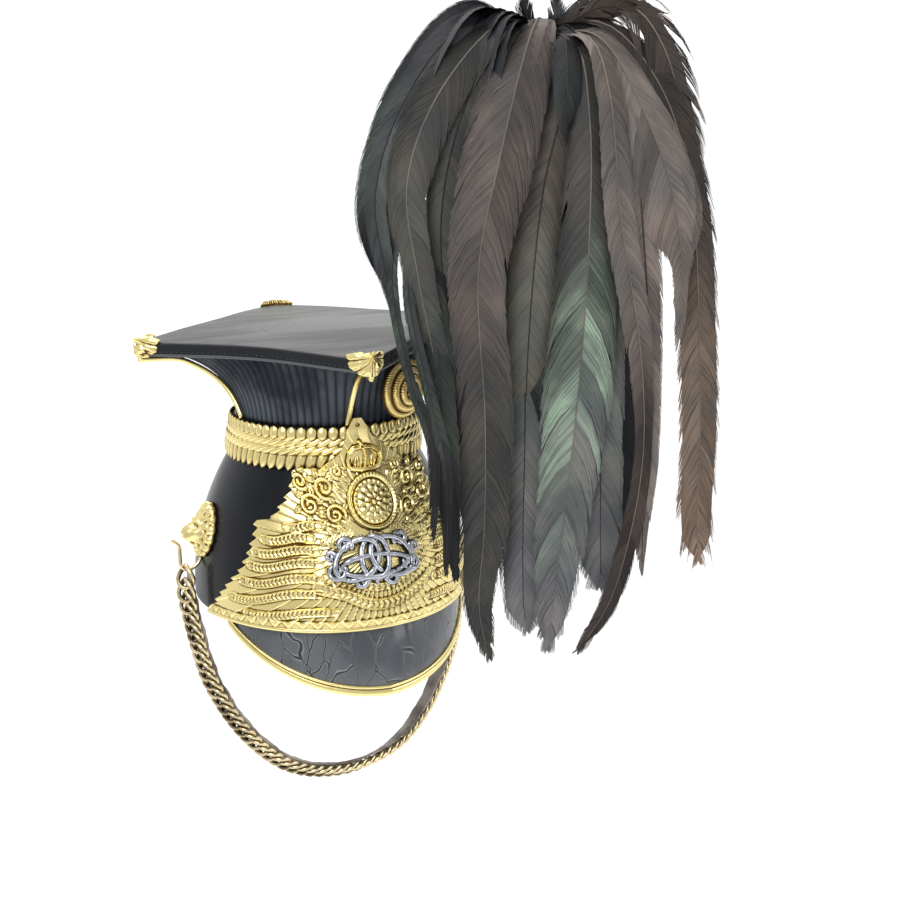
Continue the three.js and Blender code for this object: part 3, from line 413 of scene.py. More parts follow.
# Places one small unit on every point of a mesh, turned as the point's attribute says
repeat = bpy.data.node_groups.new("repeat_unit", "GeometryNodeTree")
repeat_sockets = {}
for label, kind in (("Places", "NodeSocketGeometry"), ("Unit", "NodeSocketObject"),
                    ("Unit size", "NodeSocketFloat"), ("Finish", "NodeSocketMaterial")):
    repeat_sockets[label] = repeat.interface.new_socket(label, in_out="INPUT", socket_type=kind).identifier
repeat.interface.new_socket("Row", in_out="OUTPUT", socket_type="NodeSocketGeometry")
places_in = repeat.nodes.new("NodeGroupInput").outputs
unit_shape = add(repeat, "GeometryNodeObjectInfo", {"Object": places_in["Unit"]})
unit_turn = add(repeat, "GeometryNodeInputNamedAttribute", {"Name": "unit_turn"}, data_type="FLOAT_VECTOR")
unit_scale = add(repeat, "GeometryNodeInputNamedAttribute", {"Name": "unit_scale"}, data_type="FLOAT_VECTOR")
unit_sizes = {0: unit_scale.outputs["Attribute"], "Scale": places_in["Unit size"]}
sized = add(repeat, "ShaderNodeVectorMath", unit_sizes, operation="SCALE")
placed = add(repeat, "GeometryNodeInstanceOnPoints", {
    "Points": places_in["Places"],
    "Instance": unit_shape.outputs["Geometry"],
    "Rotation": unit_turn.outputs["Attribute"],
    "Scale": sized.outputs["Vector"],
})
realized = add(repeat, "GeometryNodeRealizeInstances", {"Geometry": placed.outputs["Instances"]})
coated = add(repeat, "GeometryNodeSetMaterial",
             {"Geometry": realized.outputs["Geometry"], "Material": places_in["Finish"]})
repeat.links.new(coated.outputs["Geometry"], repeat.nodes.new("NodeGroupOutput").inputs["Row"])


def repeat_unit(name, unit_shape, places, axes, finish, scales=None, values=None, size=1.0):
    """One mesh of a unit set at each place. Axes hold the unit's X, Y and Z at a place."""
    shape = make(name + "_unit", unit_shape, None, values=values)
    eulers = [Matrix(np.asarray(a, float).T.tolist()).to_euler() for a in axes]
    scales = np.ones((len(places), 3)) if scales is None else np.asarray(scales, float)
    rows = {"unit_turn": np.array([tuple(e) for e in eulers]), "unit_scale": scales}
    row = make(name, (np.asarray(places, float), [np.zeros((0, 4), int)]), None, closed=False, values=rows)
    modifier = row.modifiers.new("repeat", "NODES")
    modifier.node_group = repeat
    modifier[repeat_sockets["Unit"]] = shape
    modifier[repeat_sockets["Unit size"]] = size
    modifier[repeat_sockets["Finish"]] = finish
    mesh = bpy.data.meshes.new_from_object(row.evaluated_get(bpy.context.evaluated_depsgraph_get()))
    row.modifiers.clear()
    row.data = mesh
    bpy.data.objects.remove(shape)
    return row


def bead_shape(half_length, half_width, half_height, columns=8, rows=5):
    """A rounded grain: the unit for stitches, rope turns and beads."""
    angle = circle(columns)
    lift = np.linspace(-np.pi / 2, np.pi / 2, rows + 2)[1:-1]
    rings = np.stack([
        np.broadcast_to(half_length * np.sin(lift)[:, None], (rows, columns)),
        half_width * np.cos(lift)[:, None] * np.cos(angle),
        half_height * np.cos(lift)[:, None] * np.sin(angle),
    ], -1)
    return skin(rings)


def unit(vectors):
    return vectors / np.maximum(np.linalg.norm(vectors, axis=-1, keepdims=True), 1e-9)


def steps_of(line):
    return np.linalg.norm(np.diff(line, axis=0), axis=1)


def run_along(steps):
    return np.concatenate([[0], np.cumsum(steps)])


def points_at(at, run, line):
    """Points at given lengths along a line."""
    return np.stack([np.interp(at, run, values) for values in line.T], -1)


thread, tree, shader = new_finish("waxed_thread", roughness=0.7)
marks = place_group(tree, mottle, patch_scale=120.0, grain_scale=3000.0)
feed(tree, shader, base_color=mixed(tree, marks["Patches"], THREAD_DARK, THREAD_WORN))
bump_into(tree, shader, marks["Grain"], 0.3, 0.0003)

fine_turns = np.linspace(0, TAU, HEM_STEPS + 1)
hem = top_point(fine_turns, -STITCH["thick"] * 0.3, TOP_SKIRT - STITCH["above_edge"])
hem_length = run_along(steps_of(hem))
stitch_count = int(hem_length[-1] / STITCH["pitch"])
at = np.arange(stitch_count) * hem_length[-1] / stitch_count
places = points_at(at, hem_length, hem)
ahead = points_at((at + 0.5) % hem_length[-1], hem_length, hem)
along = unit(ahead - places)
outward = unit(np.cross(along, [0, 0, 1]))
axes = np.stack([along, outward, np.cross(along, outward)], 1)
stitch = bead_shape(STITCH["length"] / 2, STITCH["thick"], STITCH["thick"] * 1.4, 6, 3)
stitches = repeat_unit("lid_stitches", stitch, places, axes, thread)
dress(stitches, "top_leather", "square_top")

# Waist band: a strip of stamped gilt metal round the neck, in overlapping rows under each other.
# Small shells stand along its top, two rows of slanting scales lie along its middle and leaves hang below.
BAND_UNITS = 63
BAND = {"low": 94.3, "high": 120.5, "back": 0.35, "edge": 1.2}
BAND_STAGGER = 0.37
SMALL_TURN = 0.01
BAND_ROWS = {
    "shells": {"z": 117.0, "off": 1.9, "slant": 6, "half": (3.3, 4.2, 1.7), "tip": 0.2, "flutes": 3},
    "scales": {"z": 111.7, "off": 1.6, "slant": 66, "half": (2.7, 6.6, 1.8), "tip": 0.3, "flutes": 1},
    "bars": {"z": 106.6, "off": 1.9, "slant": 66, "half": (2.7, 6.6, 1.8), "tip": 0.3, "flutes": 1},
    "leaves": {"z": 100.4, "off": 1.6, "slant": 16, "half": (3.4, 6.8, 1.7), "tip": 0.35, "flutes": 2},
}
GILT_BRIGHT = (0.95, 0.8, 0.36, 1)
GILT_DARK = (0.15, 0.085, 0.02, 1)

# Worn metal with painted shade: bright on the crests, darkened with painted shade in the hollows and on the
# shaded sides that each piece marks in an attribute, and darker still where age spots fall
worn_and_shaded_metal, metal_in, metal_out = new_group(
    "worn_and_shaded_metal",
    {"Bright": GILT_BRIGHT, "Dark": GILT_DARK, "Polish": 0.22, "Dullness": 0.55, "Age": 0.25},
    {"Colour": "NodeSocketColor", "Roughness": "NodeSocketFloat", "Height": "NodeSocketFloat"},
)
marks = place_group(worn_and_shaded_metal, mottle, patch_scale=45.0, grain_scale=700.0)
spots = multiplied(worn_and_shaded_metal, marks["Patches"], metal_in["Age"])
painted_shade = painted(worn_and_shaded_metal, "painted_shade")["Fac"]
depth = add(worn_and_shaded_metal, "ShaderNodeMath", {0: painted_shade, 1: spots}, operation="ADD").outputs[0]
# Painted shade and age spots together darken the colour here and dull the finish
shade_and_age = ranged(worn_and_shaded_metal, depth, 0.08, 0.92)
worn_and_shaded_metal.links.new(mixed(worn_and_shaded_metal, shade_and_age, metal_in["Bright"], metal_in["Dark"]), metal_out["Colour"])
polishing = {"Value": shade_and_age, "To Min": metal_in["Polish"], "To Max": metal_in["Dullness"]}
shine = add(worn_and_shaded_metal, "ShaderNodeMapRange", polishing).outputs["Result"]
worn_and_shaded_metal.links.new(shine, metal_out["Roughness"])
worn_and_shaded_metal.links.new(marks["Grain"], metal_out["Height"])


def metal_finish(name, bright, dark, polish, dullness, age):
    finish, tree, shader = new_finish(name, metallic=1.0)
    metal = place_group(tree, worn_and_shaded_metal, bright=bright, dark=dark, polish=polish, dullness=dullness, age=age)
    feed(tree, shader, base_color=metal["Colour"], roughness=metal["Roughness"])
    bump_into(tree, shader, metal["Height"], 0.08, 0.0005)
    return finish


gilt = metal_finish("fire_gilt", GILT_BRIGHT, GILT_DARK, polish=0.27, dullness=0.6, age=0.22)


def slab(front, back):
    """A closed slab between two grids of the same rows and columns."""
    rows, columns = front.shape[:2]
    size = rows * columns
    faces = [grid_faces(rows, columns), grid_faces(rows, columns)[:, ::-1] + size]
    r, c = np.arange(rows), np.arange(columns)
    sides = [c, r[1:] * columns + columns - 1, (rows - 1) * columns + c[-2::-1], r[-2:0:-1] * columns]
    edge = np.concatenate(sides)
    follow = np.roll(edge, -1)
    faces.append(np.stack([follow, edge, edge + size, follow + size], -1))
    return np.vstack([front.reshape(-1, 3), back.reshape(-1, 3)]), faces


def petal_shape(half, tip, flutes, rows=9, columns=7):
    """A stamped leaf lying in X and Y, arched in Z: blunt above, narrowed to its tip below, fluted along."""
    half_width, half_length, height = half
    v = np.linspace(-1, 1, rows)[:, None]
    u = np.linspace(-1, 1, columns)[None, :]
    full = np.sqrt(np.clip(1 - np.abs(v) ** 2.6, 0, 1)) * np.where(v < 0, 1 - tip * v * v * 0.6, 1) + 0.02
    groove = 0.16 * height * (np.cos(np.pi * flutes * u) - 1)
    arch = height * (1 - u * u) * (1 - 0.75 * v * v) + groove * (1 - v * v)
    front = np.stack(np.broadcast_arrays(half_width * u * full, half_length * v, arch + 0.15), -1)
    back = np.stack(np.broadcast_arrays(half_width * u * full, half_length * v, arch * 0 - 0.5), -1)
    # Painted shade: darker where the leaf falls low towards its edges, and all over its back
    hollow = np.clip(0.8 - arch / height * 1.6, -0.4, 0.8)
    return slab(front, back), np.concatenate([hollow.ravel(), np.ones(rows * columns)])


turns = turns_around(BAND_UNITS * 2)
band_rows = [(BAND["low"] + 2.5, BAND["edge"]), (BAND["high"] - 2.0, BAND["edge"]),
             (BAND["high"] - 2.0, BAND["back"]), (BAND["low"] + 2.5, BAND["back"])]
rings = [form_point(turns, z, out) for z, out in band_rows]
# The sheet behind the stamped units is painted in shade
band_sheet_shade = np.full(len(turns) * 4, 0.7)
band_sheet = make("band_sheet", skin(rings, loop=True), gilt, sharp=40, values={"painted_shade": band_sheet_shade})
dress(band_sheet, "gilt", "waist_band")
for number, (name, row) in enumerate(BAND_ROWS.items()):
    turns = turns_around(BAND_UNITS) + TAU / BAND_UNITS * BAND_STAGGER * number
    places = form_point(turns, row["z"], row["off"])
    outward = unit(form_point(turns, row["z"], 5.0) - places + [0, 0, 0.3])
    along = unit(form_point(turns + SMALL_TURN, row["z"]) - form_point(turns - SMALL_TURN, row["z"]))
    up = np.cross(outward, along)
    slant = np.radians(row["slant"])
    length = up * np.cos(slant) + along * np.sin(slant)
    axes = np.stack([unit(np.cross(length, outward)), length, outward], 1)
    leaf, hollow = petal_shape(row["half"], row["tip"], row["flutes"])
    units = repeat_unit("band_" + name, leaf, places, axes, gilt, values={"painted_shade": hollow})
    dress(units, "gilt", "waist_band")

# Front plate: a sheet of gilt metal stamped with rays and bent round the skull, stepping out over the band.
# Its relief is a crown, an oval with a rosette, leafy scrolls, chevron ribbons and a border of leaves.
PLATE = {"sheet": 1.1, "stand": 1.0, "step_from": 78, "step_to": 93, "step": 2.9, "low": 0.8, "high": 127}
PLATE_EDGE = np.array([
    (0.8, 79), (21, 66.5), (35, 57.5), (45, 54.5), (55, 52.5), (64.5, 53), (66.5, 45), (77, 40),
    (85, 37), (92.5, 35.5), (96.5, 22), (106, 12.5), (115, 7), (121, 4.6), (127, 1.8),
])
PLATE_TEETH = {"pitch": 5.6, "deep": 2.8, "until": 92}
PLATE_LEAN = {"turn": -4.4, "from": 104, "rise": 16}
PLATE_GRID = {"rows": 281, "columns": 311, "back_columns": 25}
RAYS = {"from": 52, "spread": 5.2}
OVAL = {"z": 73.8, "half": (14.2, 14.6)}
RIBBONS = [
    {"inner": (33.5, 63.0), "outer": (54.0, 62.4), "wave": 0.7},
    {"inner": (39.5, 56.3), "outer": (72.0, 54.4), "wave": 1.0},
    {"inner": (37.0, 49.5), "outer": (80.0, 46.6), "wave": 1.1},
    {"inner": (36.8, 42.0), "outer": (84.5, 38.5), "wave": 1.3},
    {"inner": (36.7, 33.2), "outer": (92.0, 28.4), "wave": 1.5},
    {"inner": (37.4, 24.2), "outer": (103.0, 17.3), "wave": 1.7},
    {"inner": (30.0, 13.4), "outer": (90.0, 9.0), "wave": 0.9},
]
SWAGS = [
    {"half": 3.0, "path": [(-31, 38), (-20, 31.5), (-3, 26.5), (14, 30), (26, 38)]},
    {"half": 3.9, "path": [(-39, 28), (-24, 24), (-8, 16.5), (8, 17), (22, 22.5), (33, 28)]},
]
SCROLLS = [
    {"centre": (23, 69), "radius": 6.0, "start": 200, "sense": -1},
    {"centre": (26, 83.5), "radius": 6.2, "start": 250, "sense": 1},
    {"centre": (36.5, 74.5), "radius": 6.2, "start": 160, "sense": -1},
    {"centre": (39.5, 87), "radius": 4.6, "start": 230, "sense": 1},
    {"centre": (17.5, 91), "radius": 3.4, "start": 270, "sense": 1},
]
SCROLL_TURNS = 1.4
SCROLL_LEAVES = 5
PLATE_LEAVES = 7
BORDER = {"pitch": 9.0, "low": 3.0, "high": 7.4}
BORDER_RIM = {"z": 1.9, "half": 1.6, "rise": 1.7}
PLATE_HOLE = {"z": 122.2, "radius": 1.2, "depth": 0.8}
BETWEEN_STOPS = 48


def off_form(turn, z, off):
    """A point that stands a given distance off the form, square to its surface."""
    turn, z, off = np.broadcast_arrays(np.asarray(turn, float), np.asarray(z, float), np.asarray(off, float))
    along = form_point(turn + SMALL_TURN, z) - form_point(turn - SMALL_TURN, z)
    up = form_point(turn, z + 1) - form_point(turn, z - 1)
    return form_point(turn, z) + unit(np.cross(along, up)) * off[..., None]


def plate_half_turn(z):
    return np.interp(z, PLATE_EDGE[:, 0], PLATE_EDGE[:, 1])


def plate_back(z):
    step = (z - PLATE["step_from"]) / (PLATE["step_to"] - PLATE["step_from"])
    return PLATE["stand"] + PLATE["step"] * ease(step)


def dome(across, up, centre, half, rise, power):
    """A smooth boss: an ellipse whose height falls from its middle to its edge."""
    far = np.hypot((across - centre[0]) / half[0], (up - centre[1]) / half[1])
    return rise * np.clip(1 - far ** 2, 0, 1) ** power


def from_path(across, up, path):
    """The distance of every point from a broken line, and how far along the line its nearest point is."""
    path = np.asarray(path, float)
    best = np.full(across.shape, 1e9)
    place = np.zeros(across.shape)
    run = 0.0
    for (ax, az), (bx, bz) in zip(path[:-1], path[1:]):
        dx, dz = bx - ax, bz - az
        length = np.hypot(dx, dz)
        t = np.clip(((across - ax) * dx + (up - az) * dz) / length ** 2, 0, 1)
        far = np.hypot(across - ax - t * dx, up - az - t * dz)
        place = np.where(far < best, run + t * length, place)
        best = np.minimum(best, far)
        run += length
    return best, place


def bow(start, end, sag, count=14):
    """Points on a shallow arc between two ends."""
    t = np.linspace(0, 1, count)[:, None]
    start, end = np.asarray(start, float), np.asarray(end, float)
    across = np.array([-(end - start)[1], (end - start)[0]]) / np.hypot(*(end - start))
    return lerp(start, end, t) + across * sag * 4 * t * (1 - t)


def smooth_route(points, count):
    """Even steps along a centripetal Catmull-Rom curve through given points."""
    p = np.asarray(points, float)
    p = np.vstack([2 * p[0] - p[1], p, 2 * p[-1] - p[-2]])
    knot = run_along(np.sqrt(steps_of(p[:, :3])))
    dense = []
    for i in range(1, len(p) - 2):
        t = np.linspace(knot[i], knot[i + 1], BETWEEN_STOPS)[:, None]

        def between(a, b, first, last):
            return a + (b - a) * (t - knot[first]) / (knot[last] - knot[first])

        a1 = between(p[i - 1], p[i], i - 1, i)
        a2 = between(p[i], p[i + 1], i, i + 1)
        a3 = between(p[i + 1], p[i + 2], i + 1, i + 2)
        b1 = between(a1, a2, i - 1, i + 1)
        b2 = between(a2, a3, i, i + 2)
        dense.append(between(b1, b2, i, i + 1)[:-1])
    dense = np.vstack(dense + [p[-2:-1]])
    run = run_along(steps_of(dense[:, :3]))
    return points_at(np.linspace(0, run[-1], count), run, dense)


def cord_relief(across, up, path, half, rise):
    far, _ = from_path(across, up, path)
    return rise * np.sqrt(np.clip(1 - (far / half) ** 2, 0, 1))


def leaf_relief(across, up, root, angle, length, width, rise):
    """A pointed leaf with a sunk midrib, from its root along an angle."""
    c, s = np.cos(np.radians(angle)), np.sin(np.radians(angle))
    x = ((across - root[0]) * c + (up - root[1]) * s) / length
    y = (-(across - root[0]) * s + (up - root[1]) * c) / width
    full = np.clip(np.sin(np.pi * np.clip(x, 0, 1) ** 0.75), 0, 1)
    body = np.clip(1 - (y / np.maximum(full, 0.05)) ** 2, 0, 1) * (full > 0.02)
    rib = 1 - 0.45 * np.exp(-(y / 0.16) ** 2)
    return rise * np.sqrt(body) * rib * (0.55 + 0.45 * full)


def ribbon_relief(across, up, path, half, rise, pitch=2.9):
    """A ribbon with raised borders, a row of chevrons between them and its ends turned under."""
    far, place = from_path(across, up, path)
    length = steps_of(path).sum()
    flat = ease((half - far) / 0.5)
    border = np.exp(-((far - half + 0.75) / 0.42) ** 2)
    beat = np.abs(((place + 0.7 * far) / pitch) % 1 - 0.5) * pitch
    chevron = ease((0.8 - beat) / 0.5) * ease((0.62 * half - far) / 0.4)
    inside = ease((place - 2.5) / 1.5) * ease((length - place - 2.5) / 1.5)
    return flat * (rise * (0.6 + 0.4 * border) + 0.7 * chevron * inside - 0.5 * (1 - inside))


def waved(inner, outer, wave, count=22):
    """Points on a line that waves once between two ends."""
    t = np.linspace(0, 1, count)[:, None]
    inner, outer = np.asarray(inner, float), np.asarray(outer, float)
    across = np.array([-(outer - inner)[1], (outer - inner)[0]]) / np.hypot(*(outer - inner))
    return lerp(inner, outer, t) + across * wave * np.sin(TAU * t)


def curl(centre, start, radius, turns, side, count=22):
    """A scroll that winds in from a point beside its centre."""
    t = np.linspace(0, 1, count)
    angle = start + side * turns * TAU * t
    reach = radius * (1 - 0.78 * t)
    return np.stack([centre[0] + reach * np.cos(angle), centre[1] + reach * np.sin(angle)], -1)


def oval_relief(across, up):
    """The oval boss: a roped rim round two rings of petals, a ring of beads and a button."""
    x, y = across / OVAL["half"][0], (up - OVAL["z"]) / OVAL["half"][1]
    far, around = np.hypot(x, y), np.arctan2(x, y)
    rope = 0.55 + 0.45 * np.cos(around * 44 + far * 9)
    rim = np.exp(-((far - 0.97) / 0.06) ** 2) * (0.9 + 0.5 * rope)
    groove = -0.9 * np.exp(-((far - 0.84) / 0.03) ** 2)
    beads = 0.9 * np.exp(-((far - 0.74) / 0.065) ** 2) * (0.5 + 0.5 * np.cos(around * 24)) ** 0.7
    outer = 1.2 * np.exp(-((far - 0.5) / 0.12) ** 2) * np.abs(np.cos(around * 6)) ** 0.6
    inner = 1.3 * np.exp(-((far - 0.25) / 0.1) ** 2) * np.abs(np.sin(around * 4)) ** 0.6
    button = 1.6 * np.clip(1 - (far / 0.1) ** 2, 0, 1) ** 0.5
    base = 2.4 * ease((1.08 - far) / 0.05)
    return np.where(far < 1.08, base + rim + groove + beads + outer + inner + button, 0)


def crown_relief(across, up):
    """A plain crown: a beaded circlet, two bowed hoops, a post between them and a ball."""
    across = (across + 1.2) * 1.2
    side = np.abs(across)
    hoop = [(9.8, 97), (11.3, 101.5), (10, 106), (6, 108.8), (1.4, 109.6)]
    forms = [dome(across, up, (0, 101), (10.2, 9.6), 1.3, 0.5),
             cord_relief(across, up, bow((-9.4, 91.8), (9.4, 91.8), -1.0), 1.3, 3.4),
             cord_relief(across, up, bow((-10, 96.4), (10, 96.4), -1.0), 1.0, 3.4),
             cord_relief(side, up, hoop, 1.35, 3.7),
             cord_relief(side, up, [(0, 97), (0, 108.6)], 1.2, 3.4),
             leaf_relief(side, up, (5.6, 96.4), 92, 8.0, 2.6, 3.2),
             dome(across, up, (0, 111.6), (2.0, 2.0), 4.2, 0.5)]
    forms += [dome(side, up, (k * 3.1, 94.0 + 0.04 * k * k), (1.0, 1.0), 3.6, 0.5) for k in range(4)]
    forms += [dome(across, up, (0, 99.4 + 3.0 * k), (1.5, 1.1), 4.0, 0.5) for k in range(4)]
    return np.max(forms, axis=0)


def plate_relief(across, up):
    """The height of the stamped relief over the sheet, for points across and up the plate."""
    side = np.abs(across)
    ray = (np.degrees(np.arctan2(side, up - RAYS["from"])) / RAYS["spread"]) % 1
    low_mound = dome(across, up, (0, 42), (50, 25), 1.3, 0.8)
    high_mound = dome(across, up, (0, 76), (24, 22), 1.4, 0.8)
    mound = np.maximum(low_mound, high_mound)
    height = 0.4 + 0.7 * ray * ease((1 - ray) / 0.12) + mound
    layers = [oval_relief(across, up)]
    for ribbon in RIBBONS:
        layers.append(ribbon_relief(side, up, waved(**ribbon), 3.0, 2.3))
    for swag in SWAGS:
        route = smooth_route(np.column_stack([swag["path"], np.zeros(len(swag["path"]))]), 24)[:, :2]
        layers.append(ribbon_relief(across, up, route, swag["half"], 2.5, 3.4))
    for scroll in SCROLLS:
        radius, sense = scroll["radius"], scroll["sense"]
        route = curl(scroll["centre"], np.radians(scroll["start"]), radius, SCROLL_TURNS, sense)
        layers.append(cord_relief(side, up, route, 1.1, 2.6))
        for k in range(SCROLL_LEAVES):
            angle = scroll["start"] + sense * (40 + 62 * k)
            way = np.array([np.cos(np.radians(angle)), np.sin(np.radians(angle))])
            root = np.array(scroll["centre"]) + radius * 0.9 * way
            layers.append(leaf_relief(side, up, root, angle + sense * 38, 6.4, 2.1, 2.3))
    for k in range(PLATE_LEAVES):
        odd = k % 2
        layers.append(leaf_relief(side, up, (30 + 1.2 * odd, 62 - 6.2 * k), -150 + 20 * odd, 8.5, 2.3, 2.2))
        layers.append(leaf_relief(side, up, (15 + 2.7 * k, 60.5 - 0.6 * k), -62 + 12 * odd, 7.5, 2.1, 2.0))
    height = np.maximum(height, np.max(layers, axis=0) + 0.5 * mound)
    height = np.maximum(height, crown_relief(across, up) + 0.3 * mound)
    tongue = np.abs(((across / BORDER["pitch"]) % 1) - 0.5) * 2
    share = (up - BORDER["low"]) / (BORDER["high"] - BORDER["low"])
    leaf = 1.2 + ease((share - tongue ** 1.3) / 0.2) * (0.3 + 0.6 * (1 - tongue))
    height = np.where(up < BORDER["high"], leaf, height)
    from_rim = (up - BORDER_RIM["z"]) / BORDER_RIM["half"]
    rim = BORDER_RIM["rise"] * np.sqrt(np.clip(1 - from_rim ** 2, 0, 1))
    height = np.maximum(height, rim)
    hole = np.hypot(across, up - PLATE_HOLE["z"])
    return np.where(hole < PLATE_HOLE["radius"], -PLATE_HOLE["depth"], height)


def blurred(field, reach):
    """A field averaged over a square of neighbours."""
    for axis in (0, 1):
        total = np.zeros_like(field)
        for shift in range(-reach, reach + 1):
            index = np.clip(np.arange(field.shape[axis]) + shift, 0, field.shape[axis] - 1)
            total += np.take(field, index, axis=axis)
        field = total / (2 * reach + 1)
    return field


def recess_of(height, reach, depth):
    """How far each point lies below its surroundings: positive in a hollow, negative on a crest."""
    return np.clip((blurred(height, reach) - height) / depth, -1, 1)


heights = np.linspace(PLATE["low"], PLATE["high"], PLATE_GRID["rows"])[:, None]
u = np.linspace(-1, 1, PLATE_GRID["columns"])[None, :]
saw = (heights / PLATE_TEETH["pitch"]) % 1
tooth = PLATE_TEETH["deep"] * np.where(saw < 0.75, saw / 0.75, (1 - saw) / 0.25)
tooth = tooth * ease((PLATE_TEETH["until"] - heights) / 6) * ease((heights - 5) / 4)


def plate_turn(columns):
    return np.radians(columns * (plate_half_turn(heights) - tooth * np.abs(columns) ** 6))


lean = np.radians(PLATE_LEAN["turn"]) * ease((heights - PLATE_LEAN["from"]) / PLATE_LEAN["rise"])
turn = plate_turn(u)
across = turn * form_reach(0.0, heights)
relief = plate_relief(across, np.broadcast_to(heights, turn.shape))
edge_fall = ease((1 - np.abs(u)) / 0.012)
relief = relief * (0.25 + 0.75 * edge_fall)
front = off_form(turn + lean, heights, plate_back(heights) + PLATE["sheet"] + relief)
back_u = np.linspace(-1, 1, PLATE_GRID["back_columns"])[None, :]
back = off_form(plate_turn(back_u) + lean, heights, plate_back(heights))
rows, columns, back_columns = PLATE_GRID["rows"], PLATE_GRID["columns"], PLATE_GRID["back_columns"]
size = rows * columns
faces = [grid_faces(rows, columns), grid_faces(rows, back_columns)[:, ::-1] + size]
r = np.arange(rows - 1)
for column, back_column, flip in ((0, 0, 1), (columns - 1, back_columns - 1, -1)):
    wall = [r * columns + column, (r + 1) * columns + column,
            size + (r + 1) * back_columns + back_column, size + r * back_columns + back_column]
    faces.append(np.stack(wall[::flip], -1))
k = np.arange(columns - 1)
near = np.round(np.arange(columns) * (back_columns - 1) / (columns - 1)).astype(int)
for row, flip in ((0, -1), (rows - 1, 1)):
    low, behind = row * columns, size + row * back_columns
    fan = np.stack([low + k, low + k + 1, behind + near[k]], -1)
    turn_over = k[near[k] != near[k + 1]]
    fill = np.stack([low + turn_over + 1, behind + near[turn_over + 1], behind + near[turn_over]], -1)
    faces.append(np.vstack([fan, fill])[:, ::-flip])
# Painted shade in the hollows of the relief, and an even painted shade on the back of the plate
hollow = 1.2 * recess_of(relief, 2, 0.5) + 0.35 * recess_of(relief, 6, 1.0) - 0.12
painted_shade = np.concatenate([hollow.ravel(), np.full(rows * back_columns, 0.5)])
points = np.vstack([front.reshape(-1, 3), back.reshape(-1, 3)])
plate = make("stamped_plate", (points, faces), gilt, sharp=65, values={"painted_shade": painted_shade})
dress(plate, "gilt", "front_plate")

# Plate knot: four laced rings with curled ends in tarnished silver, pinned to the middle of the plate.
# The strands pass over and under each other.
KNOT = {"turn": np.radians(-3.1), "z": 42.5, "wire": 2.2, "ring_steps": 72}
KNOT_RINGS = [
    {"place": (-10, 1), "half": (13.5, 10), "tip": 34, "phase": 0.0},
    {"place": (10, 1), "half": (13.5, 10), "tip": -34, "phase": 2.1},
    {"place": (0, 1.5), "half": (8, 11.6), "tip": 0, "phase": 4.2},
    {"place": (0, -3), "half": (19, 6), "tip": 0, "phase": 1.0},
]
KNOT_SCROLLS = [
    {"place": (22, -4.5), "start": 150, "radius": 5.6, "sense": 1},
    {"place": (17, 9.5), "start": 210, "radius": 4.6, "sense": -1},
    {"place": (9, -11.5), "start": 60, "radius": 4.0, "sense": 1},
    {"place": (25, 3.5), "start": 250, "radius": 3.4, "sense": -1},
]
KNOT_SPIKES = [(0, 11.5, 90), (-5, 10.5, 118), (5, 10.5, 62), (0, -9.5, -90), (-4, -9, -112), (4, -9, -68)]
SPIKE_LENGTH = 5
SPIKE_STEPS = 10
STRAND_SIDES = 10
SILVER_BRIGHT = (0.52, 0.54, 0.59, 1)
SILVER_DARK = (0.022, 0.024, 0.036, 1)

silver = metal_finish("tarnished_silver", SILVER_BRIGHT, SILVER_DARK, polish=0.22, dullness=0.5, age=0.6)


def tube(path, radius, sides):
    """A closed round wire along points; the radius is one value or one for each point."""
    path = np.asarray(path, float)
    along = unit(np.gradient(path, axis=0))
    any_other_way = [0.31, 0.17, 0.93]
    side = np.cross(along[0], any_other_way)
    frames = []
    for step in along:
        side = unit(side - step * np.dot(side, step))
        frames.append(side)
    side = np.array(frames)
    other = np.cross(along, side)
    angle = circle(sides)
    radius = np.broadcast_to(radius, len(path))[:, None, None]
    ring = side[:, None] * np.cos(angle)[None, :, None] + other[:, None] * np.sin(angle)[None, :, None]
    return skin(path[:, None] + radius * ring)


def on_plate(across, up, off):
    z = KNOT["z"] + up
    turn = KNOT["turn"] + across / form_reach(0.0, KNOT["z"])
    low = plate_relief(np.asarray(turn * form_reach(0.0, z)), np.asarray(z))
    return off_form(turn, z, plate_back(z) + PLATE["sheet"] + np.minimum(low, 2.6) + off)


knot_points, knot_faces, knot_shade = [], [], []


def add_strand(path, radius, over):
    """One strand: a wire on the plate, lifted where it passes over another, with painted shade down its
    sides.
    """
    centre = on_plate(path[:, 0], path[:, 1], KNOT["wire"] * 0.6 + over)
    outward = unit(on_plate(path[:, 0], path[:, 1], KNOT["wire"] * 0.6 + over + 1) - centre)
    points, faces = tube(centre, radius, STRAND_SIDES)
    start = sum(len(p) for p in knot_points)
    knot_points.append(points)
    knot_faces.extend([group + start for group in faces])
    # Painted shade: darker where the wire turns away from the plate's outward way
    around = unit(points[:-2].reshape(len(path), STRAND_SIDES, 3) - centre[:, None])
    facing = np.sum(around * outward[:, None], -1)
    knot_shade.append(np.append(np.clip(1.0 - 1.35 * facing, -0.2, 1).ravel(), [0.5, 0.5]))


